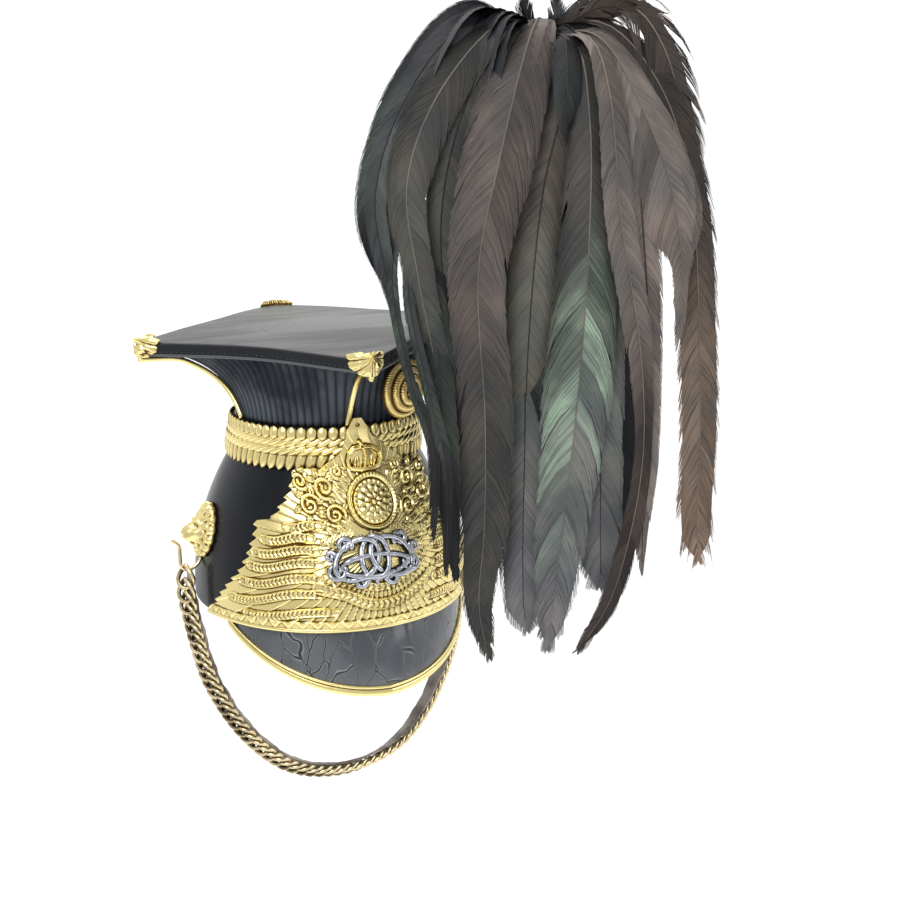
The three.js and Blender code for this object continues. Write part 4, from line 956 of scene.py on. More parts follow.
for ring in KNOT_RINGS:
    t = np.linspace(0, TAU, KNOT["ring_steps"])
    tip = np.radians(ring["tip"])
    x, y = ring["half"][0] * np.cos(t), ring["half"][1] * np.sin(t)
    across = ring["place"][0] + x * np.cos(tip) - y * np.sin(tip)
    up = ring["place"][1] + x * np.sin(tip) + y * np.cos(tip)
    add_strand(np.stack([across, up], -1), KNOT["wire"] * 0.85, 1.0 * np.sin(3 * t + ring["phase"]) + 0.7)
for side in (-1, 1):
    for row in KNOT_SCROLLS:
        scroll = curl(row["place"], np.radians(row["start"]), row["radius"], SCROLL_TURNS, row["sense"])
        scroll[:, 0] *= side
        add_strand(scroll, np.linspace(KNOT["wire"] * 0.85, KNOT["wire"] * 0.55, len(scroll)), 0.3)
for x, y, angle in KNOT_SPIKES:
    t = np.linspace(0, 1, SPIKE_STEPS)
    across = x + SPIKE_LENGTH * t * np.cos(np.radians(angle))
    up = y + SPIKE_LENGTH * t * np.sin(np.radians(angle))
    add_strand(np.stack([across, up], -1), 1.6 * np.sin(np.pi * np.clip(t * 0.9 + 0.08, 0, 1)) + 0.2, 0.4)
knot_shape = (np.vstack(knot_points), knot_faces)
knot = make("silver_knot", knot_shape, silver, values={"painted_shade": np.concatenate(knot_shade)})
dress(knot, "silver", "plate_knot")

# Peak: a piece of patent leather sewn under the front of the rim, which drops steeply and is crazed with age.
# It is a curved slab, fullest at the front and nothing at its ends.
PEAK = {"end_turn": 69.5, "down": 40.4, "forward": 5.5, "wall": 2.2, "bulge": 2.4}
PEAK_GRID = {"reach": 0.98, "along": 121, "down": 17}
PEAK_BLUE = (0.05, 0.057, 0.068, 1)
PEAK_GREY = (0.098, 0.106, 0.118, 1)
CRACK_DARK = (0.018, 0.019, 0.022, 1)
CRACK_LIP_HIGHLIGHT = (0.22, 0.227, 0.235, 1)
CRACK_CELLS = 78.0
CRACK_SHIFT = (0.012, 0.012, 0.012)
CRACK_UPRIGHT = (1.0, 1.0, 0.42)

crazed, tree, shader = new_finish("crazed_patent", coat_weight=0.5, coat_roughness=0.1)
marks = place_group(tree, mottle, patch_scale=26.0, grain_scale=800.0)
place = add(tree, "ShaderNodeTexCoord").outputs["Object"]
bend = noise(tree, place, 42.0, 2.0)["Color"]
bent = vector_math(tree, "ADD", place, vector_math(tree, "MULTIPLY", bend, CRACK_SHIFT)[0])[0]
upright = vector_math(tree, "MULTIPLY", bent, CRACK_UPRIGHT)[0]
cell_place = {"Vector": upright, "Scale": CRACK_CELLS}
cells = add(tree, "ShaderNodeTexVoronoi", cell_place, feature="DISTANCE_TO_EDGE").outputs["Distance"]
some = ranged(tree, marks["Patches"], -0.25, 0.25)
crack = multiplied(tree, ranged(tree, cells, 0.021, 0.013), some)
# Painted highlight: the lips of the cracks are painted paler; the same mask raises them in the bump
lip = multiplied(tree, ranged(tree, cells, 0.044, 0.022), some)
leather = mixed(tree, marks["Patches"], PEAK_BLUE, PEAK_GREY)
lip_highlight_colour = mixed(tree, lip, leather, CRACK_LIP_HIGHLIGHT)
feed(tree, shader, base_color=mixed(tree, crack, lip_highlight_colour, CRACK_DARK))
feed(tree, shader, roughness=ranged(tree, marks["Patches"], 0.0, 1.0, 0.2, 0.34))
crack_depth = {0: crack, 1: -1.5, 2: multiplied(tree, lip, 0.5)}
relief = add(tree, "ShaderNodeMath", crack_depth, operation="MULTIPLY_ADD").outputs[0]
bump_into(tree, shader, relief, 0.8, 0.0009)


def peak_frame(share):
    """The root and the edge of the peak at a share of its half width, and the way out from the rim."""
    turn = np.radians(PEAK["end_turn"]) * share
    s = np.abs(share)
    down = PEAK["down"] * (1 - s ** 1.9) ** 0.93
    forward = PEAK["forward"] * (1 - s ** 0.7)
    half_width, half_length = RIM["half_width"], RIM["half_length"]
    root = np.stack([half_width * np.sin(turn), -half_length * np.cos(turn), turn * 0 - GAP], -1)
    out = unit(root / np.array([half_width ** 2, half_length ** 2, np.inf]))
    edge = root + out * forward[..., None]
    edge[..., 2] -= down
    return root, edge, out


def peak_point(share, v, off=0.0):
    root, edge, out = peak_frame(share)
    swell = PEAK["bulge"] * 4 * v * (1 - v) * (1 - np.abs(share)) + off
    return lerp(root, edge, v[..., None]) + out * swell[..., None]


shares = np.linspace(-PEAK_GRID["reach"], PEAK_GRID["reach"], PEAK_GRID["along"])
shares, v = np.meshgrid(shares, np.linspace(0, 1, PEAK_GRID["down"]), indexing="ij")
peak_shape = slab(peak_point(shares, v), peak_point(shares, v, -PEAK["wall"]))
peak = make("patent_peak", peak_shape, crazed, sharp=40)
dress(peak, "patent_leather", "peak")

# Peak binding: a channel of gilt metal folded over the edge of the peak from end to end.
# Its face is rounded, with a groove rolled along under its upper border.
BINDING = {
    "hold": 5.6, "lip": 1.5, "thick": 0.9, "reach": 0.97, "upright": 1.2,
    "steps": 141, "fold_steps": 9,
}

shares = np.linspace(-BINDING["reach"], BINDING["reach"], BINDING["steps"])
root, edge, out = peak_frame(shares)
middle = edge - out * PEAK["wall"] / 2
along = unit(edge - peak_point(shares, np.full(len(shares), 0.5)))
along = unit(along - [0, 0, BINDING["upright"]])
off = unit(out - along * np.sum(out * along, -1, keepdims=True))
fold_angle = np.linspace(np.pi / 2, -np.pi / 2, BINDING["fold_steps"])


def fold(reach, half, roll):
    """The channel's section: up one face, round the edge and up the other, with a groove under its border."""
    border = [(0, 0), (0.4, roll), (1.5, roll), (1.9, -roll * 0.6), (2.4, -roll * 0.6), (2.8, roll * 0.5)]
    low = [(along - BINDING["hold"], half + rise) for along, rise in border]
    turn_over = [(reach * np.cos(a), half * np.sin(a)) for a in fold_angle]
    far = [(a, -b) for a, b in low[::-1]]
    return np.array(low + turn_over + far)


def channel(section):
    return middle[:, None] + along[:, None] * section[None, :, :1] + off[:, None] * section[None, :, 1:]


outer = fold(SEAT + BINDING["thick"], BINDING["lip"] + BINDING["thick"], 0.4)
inner = fold(SEAT, BINDING["lip"], 0.0)
# Painted shade along the groove under the channel's border
groove = np.zeros(len(outer))
groove[[3, 4, -4, -5]] = 0.9
binding_values = {"painted_shade": np.tile(groove, 2 * len(shares))}
binding_shape = slab(channel(outer), channel(inner))
binding = make("peak_binding_channel", binding_shape, gilt, sharp=60, values=binding_values)
dress(binding, "gilt", "peak_binding")

# Lion bosses: a lion's head cast in gilt metal on each side of the skull, which carries the chain's hooks.
# The mane stands in two rings of tufts round a face with a heavy brow and muzzle.
LION = {"turn": 92, "z": 48.6, "radius": 17.5}
LION_RISE = np.array([(0, 9.2), (0.2, 9), (0.42, 7.4), (0.62, 4.2), (0.74, 4.6), (0.96, 2.6), (1, 0.8)])
LION_TUFTS = 15
LION_MESH = {"around": 120, "rings": 38}
HANDS = (("left", 1), ("right", -1))


def lion_face(x, y):
    """The height of the face over the round of the boss, in millimetres across and up."""
    side = np.abs(x)
    muzzle = 5 * ease((9 - np.hypot(x, y + 4)) / 7)
    brow = 1.5 * np.exp(-((side - 4.2) / 2.6) ** 2 - ((y - 4.6) / 1.1) ** 2)
    eye = -1.9 * np.exp(-((side - 4.1) / 1.7) ** 2 - ((y - 2.2) / 1.0) ** 2)
    eyeball = 0.9 * np.exp(-((side - 4.0) / 0.8) ** 2 - ((y - 2.2) / 0.6) ** 2)
    bridge = 1.1 * np.exp(-(side / 1.7) ** 2) * ease((5 - y) / 3) * ease((y + 4.2) / 1.5)
    nose = 1.3 * np.exp(-(side / 2.1) ** 2 - ((y + 3.6) / 1.0) ** 2)
    lobes = 1.4 * np.exp(-((side - 2.5) / 1.9) ** 2 - ((y + 6.2) / 1.8) ** 2)
    mouth = -2.0 * np.exp(-((y + 8.4 - 0.12 * side) / 0.65) ** 2) * ease((5.2 - side) / 1.5)
    chin = 1.0 * np.exp(-(side / 2.4) ** 2 - ((y + 10.3) / 1.2) ** 2)
    cheek = 0.9 * np.exp(-((side - 6.8) / 1.6) ** 2 - ((y + 1.6) / 2.6) ** 2)
    ear = 2.0 * np.exp(-((side - 8.2) / 1.7) ** 2 - ((y - 8.0) / 1.7) ** 2)
    hollow = -1.2 * np.exp(-((side - 8.2) / 0.7) ** 2 - ((y - 8.0) / 0.9) ** 2)
    furrow = -0.7 * np.exp(-(side / 0.5) ** 2) * ease((y - 3.5) / 1.5)
    upper = muzzle + brow + eye + eyeball + bridge + nose + lobes
    return upper + mouth + chin + cheek + ear + hollow + furrow


def boss_shade(height, depth, lighter):
    """The painted shade of a boss: from the hollows of its rings of points, full at the edge of its seat,
    none on its two hubs.
    """
    rings = recess_of(height, 3, depth).ravel() - lighter
    return np.concatenate([rings, np.ones(height.shape[1]), [0, 0]])


angle = circle(LION_MESH["around"])
far = np.concatenate([np.linspace(0.02, 0.96, LION_MESH["rings"]), [0.985, 1.0]])[:, None]
tufts = np.abs(np.cos(angle * LION_TUFTS / 2 + 2.2 * far)) ** 0.7
inner_tufts = np.abs(np.cos(angle * (LION_TUFTS - 3) / 2 - 1.7 * far)) ** 0.7
outline = 1 - 0.085 * (1 - np.abs(np.cos(angle * LION_TUFTS / 2 + 2.2)) ** 0.7) * ease((far - 0.6) / 0.4)
x = LION["radius"] * far * outline * np.sin(angle)
y = LION["radius"] * far * outline * np.cos(angle)
outer_mane = 2.0 * (tufts - 0.5) * ease((far - 0.74) / 0.1)
inner_mane = 1.6 * (inner_tufts - 0.5) * ease((far - 0.52) / 0.08) * ease((0.8 - far) / 0.1)
face = lion_face(x, y) * ease((0.72 - far) / 0.12)
rise = np.interp(far, LION_RISE[:, 0], LION_RISE[:, 1])
height = rise + (outer_mane + inner_mane + face) * ease((1 - far) / 0.04)
lion_shade = boss_shade(height, 0.9, 0.1)
for hand, side in HANDS:
    turn = np.radians(LION["turn"]) * side + x / form_reach(np.radians(LION["turn"]), LION["z"])
    rings = np.concatenate([off_form(turn, LION["z"] + y, SEAT + height),
                            off_form(turn[-1:], LION["z"] + y[-1:], SEAT)])
    lion = make("lion_" + hand, skin(rings), gilt, values={"painted_shade": lion_shade})
    dress(lion, "gilt", "lion_boss_" + hand)

# Chain hooks: brass wire bent out from under each lion's chin, with a turned-up free end for the chain.
# Each is one length of round wire, and its foot is fixed to the skull under the boss.
HOOK = {"wire": 1.15, "steps": 48, "sides": 10}
HOOK_ROUTE = np.array([
    (0.7, 30.6), (2.6, 27.4), (6.3, 24.6), (10.4, 23.8), (13.7, 26.4), (14.2, 33), (14.5, 40), (18.8, 44.4),
])
BRASS_BRIGHT = (0.78, 0.66, 0.4, 1)
BRASS_DARK = (0.11, 0.082, 0.042, 1)

aged_brass = metal_finish("aged_brass", BRASS_BRIGHT, BRASS_DARK, polish=0.26, dullness=0.55, age=0.35)
for hand, side in HANDS:
    foot = form_point(np.radians(LION["turn"]) * side, HOOK_ROUTE[0, 1])
    route = [(foot[0] + side * out, foot[1], z) for out, z in HOOK_ROUTE]
    hook_shape = tube(smooth_route(route, HOOK["steps"]), HOOK["wire"], HOOK["sides"])
    hook = make("hook_wire_" + hand, hook_shape, aged_brass)
    dress(hook, "aged_brass", "chain_hook_" + hand)

# Chin chain: brass curb links, each twisted so that it lies flat through the next, hung from hook to hook.
# It hangs in a plane that leans forward under the peak, turned a little on itself.
# The links at its ends are larger rings.
CHAIN_ROUTE = [(94, 22.7), (95, 7), (92, -20), (85, -51), (66, -87), (41, -112), (14, -122)]
CHAIN_TOP = {"y": 1, "z": 25}
CHAIN_LEAN = 0.17
CHAIN_FACE = np.array([-0.45, 0.7, -0.5])
CHAIN_STEPS = 400
LINK = {
    "half_length": 6.4, "half_width": 5.1, "wire": 1.35, "pitch": 6.4, "flat": 0.85,
    "sides": 14, "wire_sides": 6,
}
END_RINGS = [
    {"at": 3.2, "size": (1.15, 1.3, 1.0)},
    {"at": 11.8, "size": (1.15, 1.25, 1.0)},
    {"at": 19.8, "size": (1.1, 1.1, 1.0)},
]
CURB_FROM = 27.4

chain_half = [(x, CHAIN_TOP["y"] - CHAIN_LEAN * (CHAIN_TOP["z"] - z), z) for x, z in CHAIN_ROUTE]
chain_points = chain_half + [(-x, y, z) for x, y, z in chain_half[::-1]]
chain_line = smooth_route(chain_points, CHAIN_STEPS)
chain_length = steps_of(chain_line).sum()
curb_count = int(round((chain_length - 2 * CURB_FROM) / LINK["pitch"])) + 1
theta = circle(LINK["sides"])
twist = -np.pi / 4 * np.cos(theta)
link_line = np.stack([
    LINK["half_length"] * np.cos(theta),
    LINK["half_width"] * np.sin(theta) * np.cos(twist),
    LINK["flat"] * LINK["half_width"] * np.sin(theta) * np.sin(twist),
], -1)
link_ahead = unit(np.roll(link_line, -1, 0) - np.roll(link_line, 1, 0))
link_out = unit(link_line - link_ahead * np.sum(link_line * link_ahead, -1, keepdims=True))
link_up = np.cross(link_ahead, link_out)
around = circle(LINK["wire_sides"])
wire_ring = link_out[:, None] * np.cos(around)[:, None] + link_up[:, None] * np.sin(around)[:, None]
link_rings = link_line[:, None] + LINK["wire"] * wire_ring
# Painted shade on the inner side of each link's wire
link_shade = np.tile(0.3 - 0.5 * np.cos(around), len(theta))
ring_at = np.array([ring["at"] for ring in END_RINGS])
curb_at = np.linspace(CURB_FROM, chain_length - CURB_FROM, curb_count)
at = np.concatenate([ring_at, curb_at, chain_length - ring_at[::-1]])
run = np.linspace(0, chain_length, len(chain_line))
places = points_at(at, run, chain_line)
along = unit(np.gradient(places, at, axis=0))
inward = unit(np.cross(CHAIN_FACE, along))
axes = np.stack([along, np.cross(inward, along), inward], 1)
ring_sizes = np.array([ring["size"] for ring in END_RINGS])
sizes = np.vstack([ring_sizes, np.ones((curb_count, 3)), ring_sizes[::-1]])
link_shape = skin(link_rings, loop=True)
chain = repeat_unit("curb_links", link_shape, places, axes, aged_brass, sizes, {"painted_shade": link_shade})
dress(chain, "aged_brass", "chin_chain")

# Chain velvet: a narrow strip of dark velvet behind the links, worn grey and drawn in at its ends.
# It follows the chain from hook to hook, and its edges ripple a little.
STRAP = {"width": 11.0, "thick": 1.8, "behind": 2.8, "end": 0.4, "drawn_in": 26.0, "steps": 120, "sides": 12}
VELVET_DARK = (0.15, 0.122, 0.105, 1)
VELVET_WORN = (0.46, 0.41, 0.37, 1)

velvet, tree, shader = new_finish("worn_velvet", roughness=0.95, sheen_weight=0.6, sheen_roughness=0.4)
marks = place_group(tree, mottle, patch_scale=60.0, grain_scale=2200.0)
feed(tree, shader, base_color=mixed(tree, marks["Patches"], VELVET_DARK, VELVET_WORN))
bump_into(tree, shader, marks["Grain"], 0.6, 0.0008)

line = smooth_route(chain_points, STRAP["steps"])
along = unit(np.gradient(line, axis=0))
inward = unit(np.cross(CHAIN_FACE, along))
wide = np.cross(inward, along)
corner = np.linspace(0, TAU, STRAP["sides"], endpoint=False)
section = np.stack([STRAP["width"] / 2 * np.sign(np.cos(corner)) * np.abs(np.cos(corner)) ** 0.4,
                    STRAP["thick"] / 2 * np.sign(np.sin(corner)) * np.abs(np.sin(corner)) ** 0.6], -1)
ripple = 0.5 * np.sin(np.arange(len(line)) * 0.9) + 0.35 * np.sin(np.arange(len(line)) * 2.3)
centre = line + inward * (STRAP["behind"] + STRAP["thick"] / 2) + wide * ripple[:, None]
from_end = np.linspace(0, chain_length, len(line))
from_end = np.minimum(from_end, chain_length - from_end)
full = lerp(STRAP["end"], 1.0, ease(from_end / STRAP["drawn_in"]))[:, None, None]
rings = centre[:, None] + wide[:, None] * section[None, :, :1] * full + inward[:, None] * section[None, :, 1:]
strap = make("velvet_strip", skin(rings), velvet, sharp=60)
dress(strap, "velvet", "chain_velvet")

# Corner leaves: a spray of gilt lobes folded over each corner of the top and held by a round-headed rivet.
# Each is stamped from sheet, wide on the skirt and narrower over the lid. The back one is made darker all
# over.
CORNERS = ("front", "left", "back", "right")
LEAF = {
    "across": 13.0, "over": 6.5, "down": 11.0, "flat": 9.4, "thick": 2.8, "lobes": 9,
    "lift": SEAT, "narrowed": 0.7, "back_darker": 0.85,
}
LEAF_MESH = {"around": 144, "rings": 22}
RIVET = {"across": 4.2, "up": -4.0, "radius": 2.5, "rise": 1.6}


def corner_point(corner, across, up, lift):
    """A point on a corner of the top: up is in over the lid, down is on the skirt."""
    turn = TOP_TWIST + np.pi / 2 * corner + across / TOP["half_diagonal"]
    lean = np.pi / 2 * ease((up + 2.4) / 4.8)
    inset = np.where(up > 0, up, 0) - (LEAF["lift"] + lift) * np.cos(lean)
    depth = np.where(up < 0, -up, 0) - (LEAF["lift"] + lift) * np.sin(lean)
    return top_point(turn, inset, depth)


angle = circle(LEAF_MESH["around"])
far = np.linspace(0.02, 1, LEAF_MESH["rings"])[:, None]
lobe = np.abs(np.cos(angle * LEAF["lobes"] / 2)) ** 0.45
outline = 0.78 + 0.22 * lobe
across = LEAF["across"] * far * outline * np.sin(angle)
up = np.where(np.cos(angle) > 0, LEAF["over"], LEAF["down"]) * far * outline * np.cos(angle)
up = np.maximum(up, -LEAF["flat"] * (0.97 + 0.03 * far))
across = across * lerp(1.0, LEAF["narrowed"], ease(up / LEAF["over"]))
vein = np.cos(angle * LEAF["lobes"] * 3)
fall = np.sqrt(np.clip(1.02 - far ** 3, 0, 1))
height = LEAF["thick"] * (0.45 + 0.55 * lobe) * fall + 0.22 * vein * ease((far - 0.35) / 0.3)
rivet = np.hypot(across - RIVET["across"], up - RIVET["up"]) / RIVET["radius"]
height = np.where(rivet < 1, LEAF["thick"] + RIVET["rise"] * np.sqrt(np.clip(1 - rivet ** 2, 0, 1)), height)
height = height + 0.5 * np.exp(-((far - 0.62) / 0.12) ** 2)
leaf_shade = boss_shade(height, 0.6, 0.0)
for corner, place in enumerate(CORNERS):
    seat = corner_point(corner, across[-1:], up[-1:], 0.0)
    rings = np.concatenate([corner_point(corner, across, up, height), seat])
    # The back leaf is made darker all over through the same mask
    darkening = LEAF["back_darker"] if place == "back" else 0.0
    leaf = make("corner_spray_" + place, skin(rings), gilt, values={"painted_shade": leaf_shade + darkening})
    dress(leaf, "gilt", "corner_leaf_" + place)

# Corner wires: round gilt wire down the four angles of the cloth, from the leaves to the band.
# Each is bent to the sweep of the cloth. The feet of the front and right ones have slipped aside.
WIRE = 1.65
WIRE_MESH = {"steps": 40, "sides": 12}
WIRE_BENDS = (130, 140, 149, 156)
WIRE_OFF = 0.2 + WIRE
WIRE_TOP = 160.2
WIRE_DROP = 38.5
WIRE_FOOT_TURNS = {"front": -3.9, "left": 0.0, "back": 0.0, "right": 12.0}
for corner, place in enumerate(CORNERS):
    turn = TOP_TWIST + np.pi / 2 * corner
    heights = np.array([NECK["z"] + 1.2, *WIRE_BENDS, WIRE_TOP])
    foot_turn = np.radians(WIRE_FOOT_TURNS[place]) * ((WIRE_TOP - heights) / WIRE_DROP) ** 2
    inset = np.interp(heights, [heights[0], heights[0] + CLOTH_TUCK["height"]], [CLOTH_TUCK["inset"], 0])
    route = list(off_form(turn + foot_turn, heights, WIRE_OFF - 0.6 * inset))
    route.append(top_point(np.array(turn), -GAP, TOP_SKIRT + WIRE + 2 * GAP))
    wire_shape = tube(smooth_route(route, WIRE_MESH["steps"]), WIRE, WIRE_MESH["sides"])
    wire = make("angle_wire_" + place, wire_shape, gilt)
    dress(wire, "gilt", "corner_wire_" + place)

# Rosette: a domed boss wound with rings of gold cord on the front left of the cloth, where the plume sits.
# Each ring is a rope of slanting turns, with a button in the middle.
ROSETTE = {"turn": np.radians(25), "z": 140, "radius": 18.5, "rise": 10, "nod": np.radians(6), "stand": 3.0}
ROPE_RINGS = [(16.5, 2.3), (12.0, 2.3), (7.5, 2.3), (3.1, 2.0)]
ROPE_PITCH = 1.45
ROPE_HALF = 1.75
ROPE_LAY = {"across": 0.86, "ahead": 0.5}
ROSETTE_SIDES = 72
CORD_BRIGHT = (0.94, 0.76, 0.34, 1)
CORD_DARK = (0.17, 0.1, 0.025, 1)

bullion = metal_finish("gold_cord", CORD_BRIGHT, CORD_DARK, polish=0.3, dullness=0.6, age=0.3)
rosette_seat = form_point(ROSETTE["turn"], ROSETTE["z"], ROSETTE["stand"])
rosette_out = unit(np.array([np.sin(ROSETTE["turn"]), -np.cos(ROSETTE["turn"]), -np.sin(ROSETTE["nod"])]))
rosette_up = unit(np.array([0, 0, 1]) - rosette_out * rosette_out[2])
rosette_side = -np.cross(rosette_out, rosette_up)


def dome_rise(radius):
    share = np.clip(radius / ROSETTE["radius"], 0, 1)
    return 1.2 + (ROSETTE["rise"] - 1.1) * np.cos(share * np.pi / 2) ** 0.8


def on_rosette(x, y, out):
    x, y, out = np.broadcast_arrays(x, y, out)
    face_point = rosette_seat + x[..., None] * rosette_side + y[..., None] * rosette_up
    return face_point + out[..., None] * rosette_out


angle = circle(ROSETTE_SIDES)
dome_steps = [(ROSETTE["radius"] - 1, 0.0), (ROSETTE["radius"], 0.6)]
dome_steps += [(r, dome_rise(r) - 1.2) for r in np.linspace(ROSETTE["radius"] - 0.4, 0.4, 16)]
rings = [on_rosette(r * np.cos(angle), r * np.sin(angle), out) for r, out in dome_steps]
# The dome under the rope is painted in shade
dome_shade = np.full(ROSETTE_SIDES * len(dome_steps) + 2, 0.9)
boss = make("rosette_boss", skin(rings), bullion, values={"painted_shade": dome_shade})
dress(boss, "bullion", "rosette")
places, axes, sizes = [], [], []
for radius, half in ROPE_RINGS:
    count = int(TAU * radius / ROPE_PITCH)
    for k in range(count):
        a = TAU * k / count
        radial = np.cos(a) * rosette_side + np.sin(a) * rosette_up
        ahead = -np.sin(a) * rosette_side + np.cos(a) * rosette_up
        slope = dome_rise(radius + 0.5) - dome_rise(radius - 0.5)
        across_rope = unit(radial + slope * rosette_out)
        normal = np.cross(across_rope, ahead) * np.sign(np.dot(np.cross(across_rope, ahead), rosette_out))
        lay = unit(across_rope * ROPE_LAY["across"] + ahead * ROPE_LAY["ahead"])
        places.append(rosette_seat + radius * radial + (dome_rise(radius) - 0.7) * rosette_out)
        axes.append([lay, np.cross(normal, lay), normal])
        sizes.append((half / ROPE_HALF, 1.0, half / ROPE_HALF))
turn_shape = bead_shape(2.1, 0.85, 1.25)
# Painted shade on each rope turn, its outer crest left bright
rope_turn_shade = np.append(np.tile(0.55 - 1.0 * np.clip(np.sin(circle(8)), 0, 1), 5), [0.9, 0.9])
rope = repeat_unit("rosette_rope", turn_shape, places, axes, bullion, sizes, {"painted_shade": rope_turn_shade})
dress(rope, "bullion", "rosette")

# Plume stem: a stout brass wire beside the rosette, which rises past the lid to the head of the plume.
# It is bent out to clear the lid, and the plume's head is set on its top.
STEM = 2.5
STEM_MESH = {"steps": 60, "sides": 12}
PLUME_HEAD = np.array([112.0, -98.0, 345.0])
HEAD_HALF_HEIGHT = 16.0
STEM_ROUTE = [(-6, 2.4), (4, 3.2), (20, 8.5), (36, 13)]
beside = rosette_seat + rosette_side * (ROSETTE["radius"] + STEM + GAP)
route = [beside + rosette_up * up + rosette_out * out for up, out in STEM_ROUTE]
route.append(PLUME_HEAD - [0, 0, HEAD_HALF_HEIGHT + 2 * SEAT])
stem_shape = tube(smooth_route(route, STEM_MESH["steps"]), STEM, STEM_MESH["sides"])
stem = make("stem_wire", stem_shape, aged_brass)
dress(stem, "aged_brass", "plume_stem")

